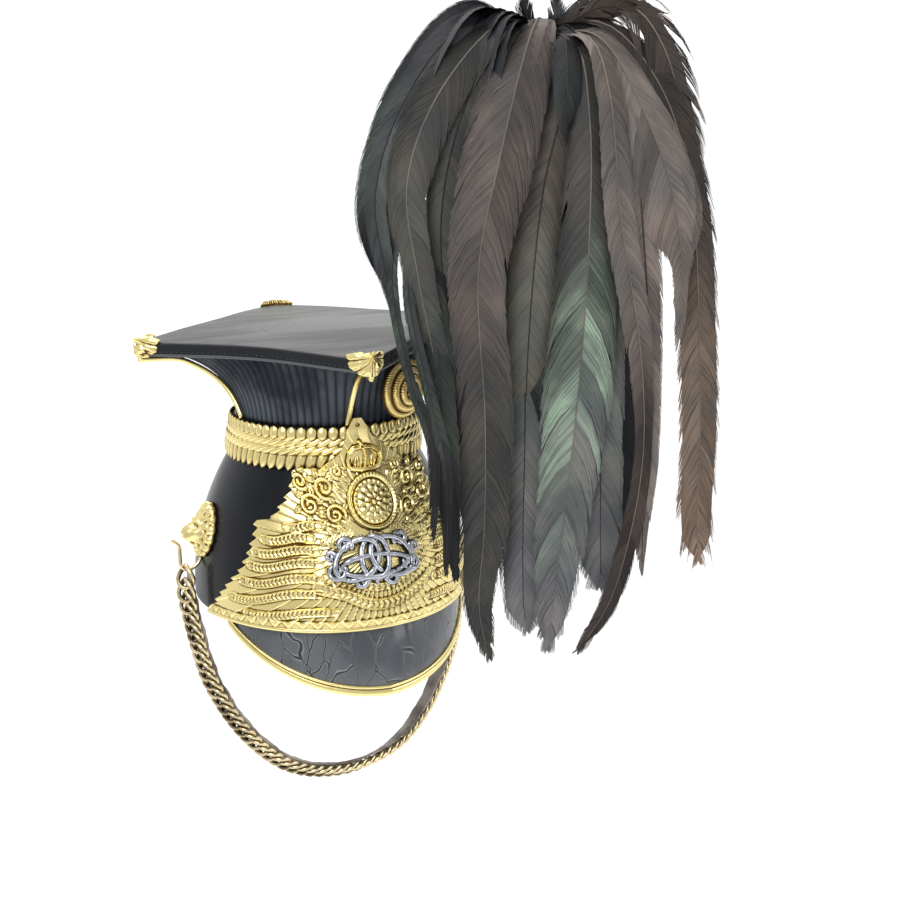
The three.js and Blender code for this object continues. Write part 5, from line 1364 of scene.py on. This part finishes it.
# Plume: long cock's feathers bound to a head, which arch over and hang all round it, the inner ones shorter.
# Each has a quill and two vanes of barbs, which lie in clumps and split at their edges.
# A stop is right, up and front of the head, and half the feather's width there, all in millimetres.
PLUME_FRONT = np.array([-0.4313, -0.9022, 0.0])
PLUME_RIGHT = np.array([0.9022, -0.4313, 0.0])
FEATHERS = {
    "outer_left": dict(tint="ink", sheen=0.2, fray=0.25, quill="dark", facing=-35, stops=[
        (0, 5, 0, 2), (-45, 11, 13, 9), (-82, -30, 20, 10), (-101, -80, 24, 10), (-104, -108, 27, 8),
        (-97, -139, 30, 2),
    ]),
    "left_blue": dict(tint="slate", sheen=0.2, fray=0.2, quill="dark", facing=-25, stops=[
        (0, 1, 0, 2), (-47, 2, 24, 9), (-82, -42, 36, 9), (-97, -90, 40, 7.5), (-94, -125, 43, 6.5),
        (-86, -165, 46, 2.5),
    ]),
    "left_broad": dict(tint="moss", sheen=0.15, fray=0.3, quill="pale", facing=-15, stops=[
        (0, 3, 0, 2), (-21, 6, 18, 8.5), (-60, -34, 42, 15.5), (-79, -83, 50, 13.5), (-74, -135, 54, 10),
        (-65, -190, 57, 9.5), (-60, -245, 57, 8), (-58, -314, 56, 2.5),
    ]),
    "left_inner": dict(tint="moss", sheen=0.1, fray=0.25, quill="dark", facing=-10, stops=[
        (0, -1, 0, 2), (-18, 1, 18, 7), (-46, -43, 42, 12), (-60, -100, 47, 12), (-58, -165, 48, 7.5),
        (-52, -225, 48, 8), (-49, -292, 48, 2.5),
    ]),
    "front_broad": dict(tint="mauve", tip_tint="moss", sheen=0, fray=0.5, quill="pale", facing=0, stops=[
        (2, 4, -3, 2), (0, 9, 6, 8), (-3, 6, 17, 14.5), (-10, -11, 31, 18.5), (-27, -70, 60, 21.5),
        (-40, -130, 64, 17.5), (-38, -217, 61, 16.5), (-40, -285, 60, 15), (-44, -330, 58, 10),
        (-38, -367, 58, 3.5),
    ]),
    "front_short": dict(tint="ink", sheen=0.1, fray=0.2, quill="dark", facing=10, stops=[
        (0, -2, 0, 2), (12, -3, 22, 8), (13, -18, 34, 9), (12, -40, 42, 7), (10, -60, 45, 2.5),
    ]),
    "front_brown": dict(tint="taupe", sheen=0.2, fray=0.3, quill="dark", facing=5, stops=[
        (0, -3, 0, 2), (11, -11, 20, 9), (11, -36, 32, 11.5), (-2, -90, 42, 14.5), (-11, -165, 48, 16),
        (-13, -235, 36, 10), (-10, -272, 28, 4),
    ]),
    "front_green": dict(tint="moss", tip_tint="ash", sheen=1, fray=0.6, quill="pale", facing=0, stops=[
        (0, 0, 0, 2), (19, -7, 24, 6), (25, -50, 42, 12), (23, -120, 52, 17.5), (16, -205, 56, 20.5),
        (7, -280, 57, 17), (1, -326, 57, 13), (-4, -363, 57, 5),
    ]),
    "front_slate": dict(tint="ash", sheen=0.15, fray=0.15, quill="dark", facing=-5, stops=[
        (0, -7, 0, 2), (2, -27, 16, 6), (-12, -128, 28, 11), (-14, -220, 43, 13), (-17, -300, 50, 15),
        (-17, -334, 52, 13), (-15, -352, 52, 11),
    ]),
    "front_round": dict(tint="ash", sheen=0.3, fray=0.12, quill="dark", facing=5, stops=[
        (0, -5, 0, 2), (23, -8, 20, 6), (31, -95, 38, 11.5), (31, -210, 44, 14), (30, -290, 45, 14),
        (30, -315, 45, 14), (29, -328, 45, 12.5),
    ]),
    "right_sweep": dict(tint="fawn", tip_tint="umber", sheen=0, fray=0.6, quill="pale", facing=10, stops=[
        (0, 2, 0, 2), (27, -4, 26, 5), (36, -35, 43, 8), (41, -105, 52, 10), (52, -180, 54, 8.5),
        (54, -240, 54, 5.5), (46, -293, 54, 7), (33, -335, 54, 6.5), (13, -365, 54, 2.5),
    ]),
    "right_pale": dict(tint="fawn", sheen=0, fray=0.35, quill="pale", facing=20, stops=[
        (0, 1, 0, 2), (31, -3, 20, 6), (56, -48, 40, 16), (71, -90, 46, 21), (76, -116, 46, 19.5),
        (77, -131, 46, 8), (76, -176, 46, 2.5),
    ]),
    "right_column": dict(tint="fawn", sheen=0, fray=0.3, quill="dark", facing=15, stops=[
        (0, -2, 0, 2), (32, -6, 22, 5.5), (48, -55, 40, 9), (55, -120, 48, 11), (59, -190, 50, 8),
        (59, -246, 50, 5.5), (54, -290, 50, 4.5), (54, -319, 50, 1.5),
    ]),
    "right_top": dict(tint="umber", sheen=0, fray=0.9, quill="pale", loose=0.45, web=0.5, facing=25, stops=[
        (0, 7, 0, 3), (29, 14, 4, 7), (54, 12, 6, 12), (70, -9, 12, 17), (80, -40, 16, 17),
        (86, -72, 18, 13), (89, -100, 18, 5),
    ]),
    "far_right": dict(tint="brown", tip_tint="tan", sheen=0, fray=0.9, quill="pale", facing=20, stops=[
        (0, 4, 0, 2), (38, 4, 10, 6), (70, -36, 21, 12), (85, -100, 29, 15), (89, -170, 33, 15),
        (91, -230, 34, 14.5), (90, -285, 34, 13), (91, -317, 34, 11),
    ]),
    "right_gap": dict(tint="ink", sheen=0, fray=0.3, quill="dark", facing=10, stops=[
        (0, -6, 0, 2), (31, -8, 12, 5.5), (43, -80, 22, 9.5), (45, -170, 24, 12), (46, -240, 24, 12),
        (45, -305, 24, 4),
    ]),
    "strand_a": dict(tint="ink", sheen=0.25, fray=0.5, quill="dark", facing=-20, stops=[
        (0, -3, 0, 2), (-36, -16, 20, 2.5), (-75, -75, 31, 3), (-89, -130, 46, 3.5), (-80, -190, 68, 3.5),
        (-68, -232, 70, 4), (-70, -288, 70, 1.5),
    ]),
    "strand_b": dict(tint="ink", sheen=0.25, fray=0.5, quill="dark", facing=-10, stops=[
        (0, -5, 0, 2), (-31, -16, 20, 2.5), (-69, -80, 33, 3), (-80, -140, 52, 3.5), (-70, -197, 70, 4),
        (-61, -245, 72, 4), (-63, -309, 72, 1.5),
    ]),
    "left_low": dict(tint="ink", sheen=0.15, fray=0.3, quill="dark", facing=-5, stops=[
        (0, -9, 0, 2), (-36, -32, 22, 4.5), (-65, -115, 42, 7.5), (-63, -193, 60, 8.5), (-61, -255, 62, 8),
        (-57, -315, 62, 2),
    ]),
    "tuft_a": dict(tint="ink", sheen=0.1, fray=0.9, quill="dark", loose=0.8, web=0.3, facing=-20, stops=[
        (0, 0, 0, 2), (-6, 6, 4, 4.5), (-9, 14, 6, 5.5), (-9, 22, 6, 3.5),
    ]),
    "tuft_b": dict(tint="slate", sheen=0.1, fray=0.9, quill="dark", loose=0.8, web=0.3, facing=10, stops=[
        (0, 0, 0, 2), (8, 4, 3, 4.5), (10, 13, 4, 6), (11, 22, 4, 4),
    ]),
    "tuft_c": dict(tint="brown", sheen=0, fray=1, quill="dark", loose=0.8, web=0.3, facing=20, stops=[
        (0, 0, 0, 2), (14, 4, 6, 6), (33, 13, 8, 8), (58, 13, 8, 2),
    ]),
    "tuft_d": dict(tint="umber", sheen=0, fray=1, quill="dark", loose=0.8, web=0.3, facing=20, stops=[
        (0, 0, 0, 2), (18, 0, 2, 5), (40, 8, 4, 5), (50, 19, 4, 2),
    ]),
    "tuft_e": dict(tint="brown", sheen=0, fray=1, quill="dark", loose=0.8, web=0.3, facing=30, stops=[
        (0, 0, 0, 2), (30, 4, 0, 4), (54, 14, 2, 3.5), (75, 9, 2, 1.5),
    ]),
}
HANGING_FIELDS = ("heading", "reach", "rise", "drop", "tip_reach", "tip_drop", "half", "tint")
HANGING_ROWS = [
    (4, 74, 12, 100, 66, 250, 17, "umber"),
    (26, 84, 10, 104, 82, 320, 18, "slate"),
    (46, 86, 8, 100, 86, 290, 18, "moss"),
    (66, 78, 9, 80, 80, 240, 18, "mauve"),
    (88, 74, 8, 74, 80, 150, 18, "ink"),
    (112, 72, 8, 68, 82, 150, 19, "slate"),
    (134, 80, 10, 66, 90, 138, 18, "moss"),
    (156, 90, 12, 70, 100, 138, 16, "ink"),
    (176, 96, 13, 80, 94, 140, 13, "slate"),
    (200, 64, 6, 90, 80, 230, 13, "ink"),
    (222, 36, 0, 100, 44, 290, 15, "ink"),
    (250, 28, -6, 120, 38, 300, 17, "ink"),
    (280, 26, -8, 120, 36, 300, 17, "ink"),
    (310, 30, -6, 100, 38, 290, 16, "ink"),
    (340, 48, 2, 90, 50, 230, 16, "ink"),
]
HANGING = [dict(zip(HANGING_FIELDS, row)) for row in HANGING_ROWS]
TINTS = {
    "mauve": (0.098, 0.083, 0.077),
    "taupe": (0.108, 0.098, 0.086),
    "umber": (0.04, 0.032, 0.029),
    "moss": (0.054, 0.054, 0.05),
    "ash": (0.126, 0.128, 0.134),
    "fawn": (0.142, 0.124, 0.114),
    "tan": (0.155, 0.118, 0.092),
    "slate": (0.036, 0.039, 0.045),
    "ink": (0.012, 0.013, 0.016),
    "brown": (0.038, 0.03, 0.025),
}
QUILLS = {"pale": (0.16, 0.138, 0.12), "dark": (0.035, 0.029, 0.026)}
BARB = {
    "spacing": 0.9, "curl": 0.4, "cover": 1.5, "tilt": 0.1,
    "angle": np.radians(42), "tip_angle": np.radians(32),
}
TIP_ROUND = 11.0
BLADE = np.array([
    (0, 0.2), (0.06, 0.5), (0.14, 0.74), (0.34, 0.98), (0.64, 1), (0.86, 0.8), (0.95, 0.5), (1, 0.12),
])
FEATHER_STEPS = 140
QUILL = {"points": 44, "sides": 5, "root": 0.6, "tip": 0.2, "lift": 0.2}
WEB = {"rows": 60, "share": 0.8, "behind": 0.35, "root": 6.0, "root_length": 16.0}
FILLERS = 46
FILLER_STEP = 137.5
PLUME_PARTS = 4
PLUME_SEED = 11
DUST_COOL = (0.74, 0.77, 0.8, 1)
DUST_WARM = (1.24, 1.14, 1.08, 1)
SHEEN_GREEN = (0.3, 0.41, 0.31, 1)


def heading_way(degrees):
    angle = np.radians(degrees)
    return np.array([np.cos(angle), np.sin(angle), 0.0])


def hanging_stops(row):
    """The stops of a feather that arches out of the head at one heading and hangs down."""
    way = heading_way(row["heading"])
    stops = [(0, 0), (0.45 * row["reach"], row["rise"]), (row["reach"], -row["drop"]),
             (1.03 * lerp(row["reach"], row["tip_reach"], 0.5), -lerp(row["drop"], row["tip_drop"], 0.52)),
             (row["tip_reach"], -row["tip_drop"])]
    line = np.array([PLUME_HEAD + way * reach + [0, 0, up] for reach, up in stops])
    run = run_along(steps_of(line))
    half = row["half"] * np.interp(run / run[-1], BLADE[:, 0], BLADE[:, 1])
    return np.column_stack([line, half]), way


def charted_stops(row):
    stops = np.array(row["stops"], float)
    line = PLUME_HEAD + stops[:, :1] * PLUME_RIGHT + stops[:, 2:3] * PLUME_FRONT + stops[:, 1:2] * [0, 0, 1]
    facing = np.radians(row["facing"])
    return np.column_stack([line, stops[:, 3]]), PLUME_FRONT * np.cos(facing) + PLUME_RIGHT * np.sin(facing)


def feather(stops, facing, row, rng):
    """A feather's points, faces, tints and sheen: barbs in pairs along a thin quill."""
    count = FEATHER_STEPS
    route = smooth_route(stops, count)
    line = route[:, :3]
    share = np.linspace(0, 1, count)
    length = steps_of(line).sum()
    spread = WEB["root"] * ease(share * length / WEB["root_length"]) * ease((0.5 - share) / 0.3)
    tip = np.clip(1 - (1 - share) * length / TIP_ROUND, 0, 1)
    halves = np.maximum(np.maximum(route[:, 3], spread) * np.sqrt(1 - tip ** 2), 0.6)
    along = unit(np.gradient(line, axis=0))
    away = ease(share / 0.22)[:, None]
    faced = facing * away + np.array([0, 0, 1]) * (1.05 - away)
    wide = unit(np.cross(faced, along))
    out = np.cross(along, wide)
    sway = rng.uniform(0.3, 1.2) * np.sin(share * rng.uniform(6, 11) + rng.uniform(0, TAU))
    camber = rng.uniform(0.08, 0.26)
    fray = row["fray"]
    tip_tint = TINTS[row.get("tip_tint", row["tint"])]

    def tint_at(u):
        return lerp(np.array(TINTS[row["tint"]]), np.array(tip_tint), ease((u - 0.4) / 0.25)[:, None])

    def vane(s, w, lift):
        """A point on the vane: s along the quill and w across it, in millimetres."""
        at = np.clip(s / length, 0, 1) * (count - 1)
        i = np.minimum(at.astype(int), count - 2)
        f = (at - i)[..., None]
        here = lerp(line[i], line[i + 1], f)
        past = np.maximum(s - length, 0)[..., None]
        across = lerp(wide[i], wide[i + 1], f)
        outward = lerp(out[i], out[i + 1], f)
        bend = lift - camber * w * w / 16 + lerp(sway[i], sway[i + 1], f[..., 0])
        return here + along[i] * past + across * w[..., None] + outward * bend[..., None]

    barbs = int(length * 0.97 / row["spacing"])
    root = np.linspace(0.02, 0.99, barbs) * length
    u = root / length
    angle_here = lerp(BARB["angle"], BARB["tip_angle"], ease((u - 0.6) / 0.4))
    run_out = (share * length - root[:, None]) * np.tan(angle_here * (1 - BARB["curl"]))[:, None] - halves
    run_out[:, -1] = np.maximum(run_out[:, -1], 0.01)
    past = np.maximum(np.argmax(run_out > 0, axis=1), 1)
    before, after = run_out[np.arange(barbs), past - 1], run_out[np.arange(barbs), past]
    half = lerp(halves[past - 1], halves[past], before / (before - after))
    q = np.array([0, 0.36, 0.72, 1.0])
    taper = np.array([1.0, 1.1, 1.1, 0.8])
    barb_points = 2 * len(q)
    points, tints, sheens, faces = [], [], [], []
    start = 0
    for side in (-1, 1):
        cuts = np.cumsum(rng.uniform(18, 74, int(length / 7) + 4) * lerp(1.0, 0.4, fray))
        clump = np.searchsorted(cuts, root)
        clumps = len(cuts) + 1
        edges = np.concatenate([[0], cuts])
        within = (root - edges[clump]) / (edges[clump + 1] - edges[clump]) - 0.5
        free = fray * (row.get("loose", 0.25) + 0.75 * ease((u - 0.72) / 0.28))
        angle = angle_here + rng.normal(0, 0.05, clumps)[clump] * (0.4 + free)
        angle = angle + 0.5 * free * within + rng.normal(0, 0.008 + 0.02 * fray, barbs)
        reach = half / np.sin(np.maximum(angle * (1 - BARB["curl"]), 0.2))
        reach = reach * rng.uniform(0.92, 1.03, clumps)[clump]
        reach = reach * rng.uniform(0.98 - 0.1 * fray, 1.01, barbs)
        curl_in = angle[:, None] * (1 - BARB["curl"] * q)
        s = root[:, None] + reach[:, None] * q * np.cos(curl_in)
        w = side * reach[:, None] * q * np.sin(curl_in)
        lift = (rng.normal(0, 1.0, clumps)[clump] * (0.25 + free * 1.3))[:, None] * q * q
        width = row["spacing"] * taper * lerp(BARB["cover"], 1.1, free)[:, None]
        grid = np.stack([vane(s - width / 2, w, lift), vane(s + width / 2, w, lift + BARB["tilt"])], 2)
        points.append(grid.reshape(-1, 3))
        i = start + np.arange(barbs)[:, None] * barb_points + np.arange(len(q) - 1)[None, :] * 2
        order = (0, 1, 3, 2) if side > 0 else (0, 2, 3, 1)
        faces.append(np.stack([i + k for k in order], -1).reshape(-1, 4))
        tone = rng.normal(1, 0.18, clumps)[clump] * rng.normal(1, 0.16, barbs)
        # Painted shade: the barbs are darker near the head, where the other feathers overlap them
        tone = tone * (0.7 + 0.36 * ease(u / 0.35))
        tone = np.clip(tone, 0.5, 1.5)[:, None] * (0.88 + 0.2 * q)
        tinted = tone[:, :, None, None] * tint_at(u)[:, None, None] * np.ones((1, 1, 2, 1))
        tints.append(tinted.reshape(-1, 3))
        glint = ease((u - 0.3) / 0.2) * ease((0.9 - u) / 0.25) * rng.uniform(0.12, 1.15, clumps)[clump]
        glint = glint * rng.uniform(0.35, 1.25, barbs)
        sheens.append(np.repeat(row["sheen"] * glint, barb_points))
        start += barbs * barb_points
    web_share = np.linspace(0.01, 0.985, WEB["rows"])
    web_half = row.get("web", WEB["share"]) * np.interp(web_share, share, halves)
    web_half = web_half * ease((1 - web_share) / 0.05)
    for side in (-1, 1):
        w = side * web_half[:, None] * np.array([0, 0.5, 1.0])
        s = np.broadcast_to(web_share[:, None] * length, w.shape)
        points.append(vane(s, w, np.full(w.shape, -WEB["behind"])).reshape(-1, 3))
        web_faces = grid_faces(WEB["rows"], 3) + start
        faces.append(web_faces if side > 0 else web_faces[:, ::-1])
        # The web behind the barbs is tinted darker as painted shade between them
        tints.append(np.repeat(0.82 * tint_at(web_share), 3, axis=0))
        sheens.append(np.zeros(3 * WEB["rows"]))
        start += 3 * WEB["rows"]
    quill_share = np.linspace(0, 0.97, QUILL["points"])
    quill_line = vane(quill_share * length, quill_share * 0, np.full(QUILL["points"], QUILL["lift"]))
    quill_radius = lerp(QUILL["root"], QUILL["tip"], quill_share)
    quill_points, quill_faces = tube(quill_line, quill_radius, QUILL["sides"])
    faces += [group + start for group in quill_faces]
    points.append(quill_points)
    tints.append(np.tile(np.array(QUILLS[row["quill"]]), (len(quill_points), 1)))
    sheens.append(np.zeros(len(quill_points)))
    return np.vstack(points), faces, np.vstack(tints), np.concatenate(sheens)


plumage, tree, shader = new_finish("cock_feather", specular_ior_level=0.22)
sheen = painted(tree, "sheen")["Fac"]
marks = place_group(tree, mottle, patch_scale=26.0, grain_scale=500.0)
dusty = mixed(tree, marks["Patches"], DUST_COOL, DUST_WARM)
toned = mixed(tree, 1.0, painted(tree, "tint")["Color"], dusty, "MULTIPLY")
bloom = multiplied(tree, sheen, ranged(tree, marks["Patches"], 0.0, 1.0, 0.45, 1.0))
feed(tree, shader, base_color=mixed(tree, bloom, toned, SHEEN_GREEN))
feed(tree, shader, roughness=ranged(tree, sheen, 0.0, 1.0, 0.5, 0.36))
bump_into(tree, shader, marks["Grain"], 0.1, 0.0003)

rng = np.random.default_rng(PLUME_SEED)
plain = {"sheen": 0.1, "fray": 0.3, "quill": "dark", "spacing": 1.1}
grown = [feather(*charted_stops(row), row | {"spacing": BARB["spacing"]}, rng) for row in FEATHERS.values()]
grown += [feather(*hanging_stops(row), plain | row, rng) for row in HANGING]
headings = [row["heading"] for row in HANGING]
for k in range(FILLERS):
    heading = (k * FILLER_STEP + rng.uniform(-8, 8)) % 360
    row = {key: np.interp(heading, headings, [r[key] for r in HANGING], period=360)
           for key in ("reach", "rise", "drop", "tip_reach", "tip_drop", "half")}
    depth = rng.uniform(0.5, 0.9)
    row["reach"] *= depth
    row["tip_reach"] *= depth * rng.uniform(0.85, 1.05)
    row["tip_drop"] *= rng.uniform(0.62, 0.95)
    row |= {"heading": heading, "tint": rng.choice(["ink", "ink", "slate"]), "fray": rng.uniform(0.2, 0.5)}
    grown.append(feather(*hanging_stops(row), plain | row, rng))

for part in range(PLUME_PARTS):
    points, faces, tints, sheens = [], [], [], []
    start = 0
    for p, f, t, s in grown[part::PLUME_PARTS]:
        points.append(p)
        faces += [group + start for group in f]
        tints.append(np.column_stack([t, np.ones(len(t))]))
        sheens.append(s)
        start += len(p)
    values = {"tint": np.vstack(tints), "sheen": np.concatenate(sheens)}
    shape = (np.vstack(points), faces)
    plume = make("plume_feathers_%d" % (part + 1), shape, plumage, closed=False, values=values)
    dress(plume, "feather", "plume")

# Studio: a pale floor well below the cap, soft light from the upper left and a camera a little above the lid.
# The world is white to the camera and dimmer behind it, so that the metal has something to reflect.
CAMERA = {"place": (-0.31276, -0.85051, 0.29179), "heading": -25.548, "tilt": 12.714, "roll": -1.535}
LENS = {"length": 56.81, "sensor": 36}
WORLD = {"ahead": 1.0, "behind": 0.6, "seen": 1.15}
FLOOR = {"z": -360, "radius": 900, "sides": 64}
PAPER_DIM = (0.93, 0.93, 0.93, 1)
PAPER_WHITE = (0.95, 0.95, 0.95, 1)
SOFTBOXES = [
    {"name": "key", "place": (-0.95, -0.95, 1.0), "size": 1.0, "watts": 14},
    {"name": "fill", "place": (1.0, -0.9, 0.5), "size": 0.9, "watts": 5},
    {"name": "overhead", "place": (0.1, 0.3, 1.5), "size": 1.2, "watts": 14},
]
SUBJECT = Vector((0.05, -0.03, 0.12))

camera = bpy.data.objects.new("camera", bpy.data.cameras.new("camera"))
camera.data.lens = LENS["length"]
camera.data.sensor_width = LENS["sensor"]
turned = Matrix.Rotation(np.radians(CAMERA["heading"]), 4, "Z")
turned = turned @ Matrix.Rotation(np.radians(90 - CAMERA["tilt"]), 4, "X")
turned = turned @ Matrix.Rotation(np.radians(CAMERA["roll"]), 4, "Z")
camera.matrix_world = Matrix.Translation(CAMERA["place"]) @ turned
bpy.context.scene.collection.objects.link(camera)
bpy.context.scene.camera = camera

paper, tree, shader = new_finish("floor_paper", roughness=0.9, specular_ior_level=0.1)
marks = place_group(tree, mottle, patch_scale=3.0, grain_scale=300.0)
feed(tree, shader, base_color=mixed(tree, marks["Patches"], PAPER_DIM, PAPER_WHITE))
angle = circle(FLOOR["sides"])
corners = [FLOOR["radius"] * np.cos(angle), FLOOR["radius"] * np.sin(angle), angle * 0 + FLOOR["z"]]
floor = make("floor", (np.stack(corners, -1), [np.arange(FLOOR["sides"])[None, :]]), paper, closed=False)

for box in SOFTBOXES:
    light = bpy.data.lights.new(box["name"], "AREA")
    light.size = box["size"]
    light.energy = box["watts"]
    lamp = bpy.data.objects.new(box["name"], light)
    lamp.location = box["place"]
    lamp.rotation_euler = (SUBJECT - lamp.location).to_track_quat("-Z", "Y").to_euler()
    bpy.context.scene.collection.objects.link(lamp)

world = bpy.data.worlds.new("studio")
world.use_nodes = True
bpy.context.scene.world = world
tree = world.node_tree
direction = add(tree, "ShaderNodeTexCoord").outputs["Generated"]
camera_back = tuple(turned.to_3x3().col[2])
facing = vector_math(tree, "DOT_PRODUCT", direction, camera_back)["Value"]
dimming = {
    "Value": facing,
    "From Min": -0.5, "From Max": 0.6,
    "To Min": WORLD["ahead"], "To Max": WORLD["behind"],
}
dim = add(tree, "ShaderNodeMapRange", dimming).outputs["Result"]
seen = add(tree, "ShaderNodeLightPath").outputs["Is Camera Ray"]
strength = add(tree, "ShaderNodeMix", {0: seen, 2: dim, 3: WORLD["seen"]}, data_type="FLOAT").outputs[0]
tree.links.new(strength, tree.nodes["Background"].inputs["Strength"])
tree.nodes["Background"].inputs["Color"].default_value = (1, 1, 1, 1)
bpy.context.scene.view_settings.view_transform = "Standard"
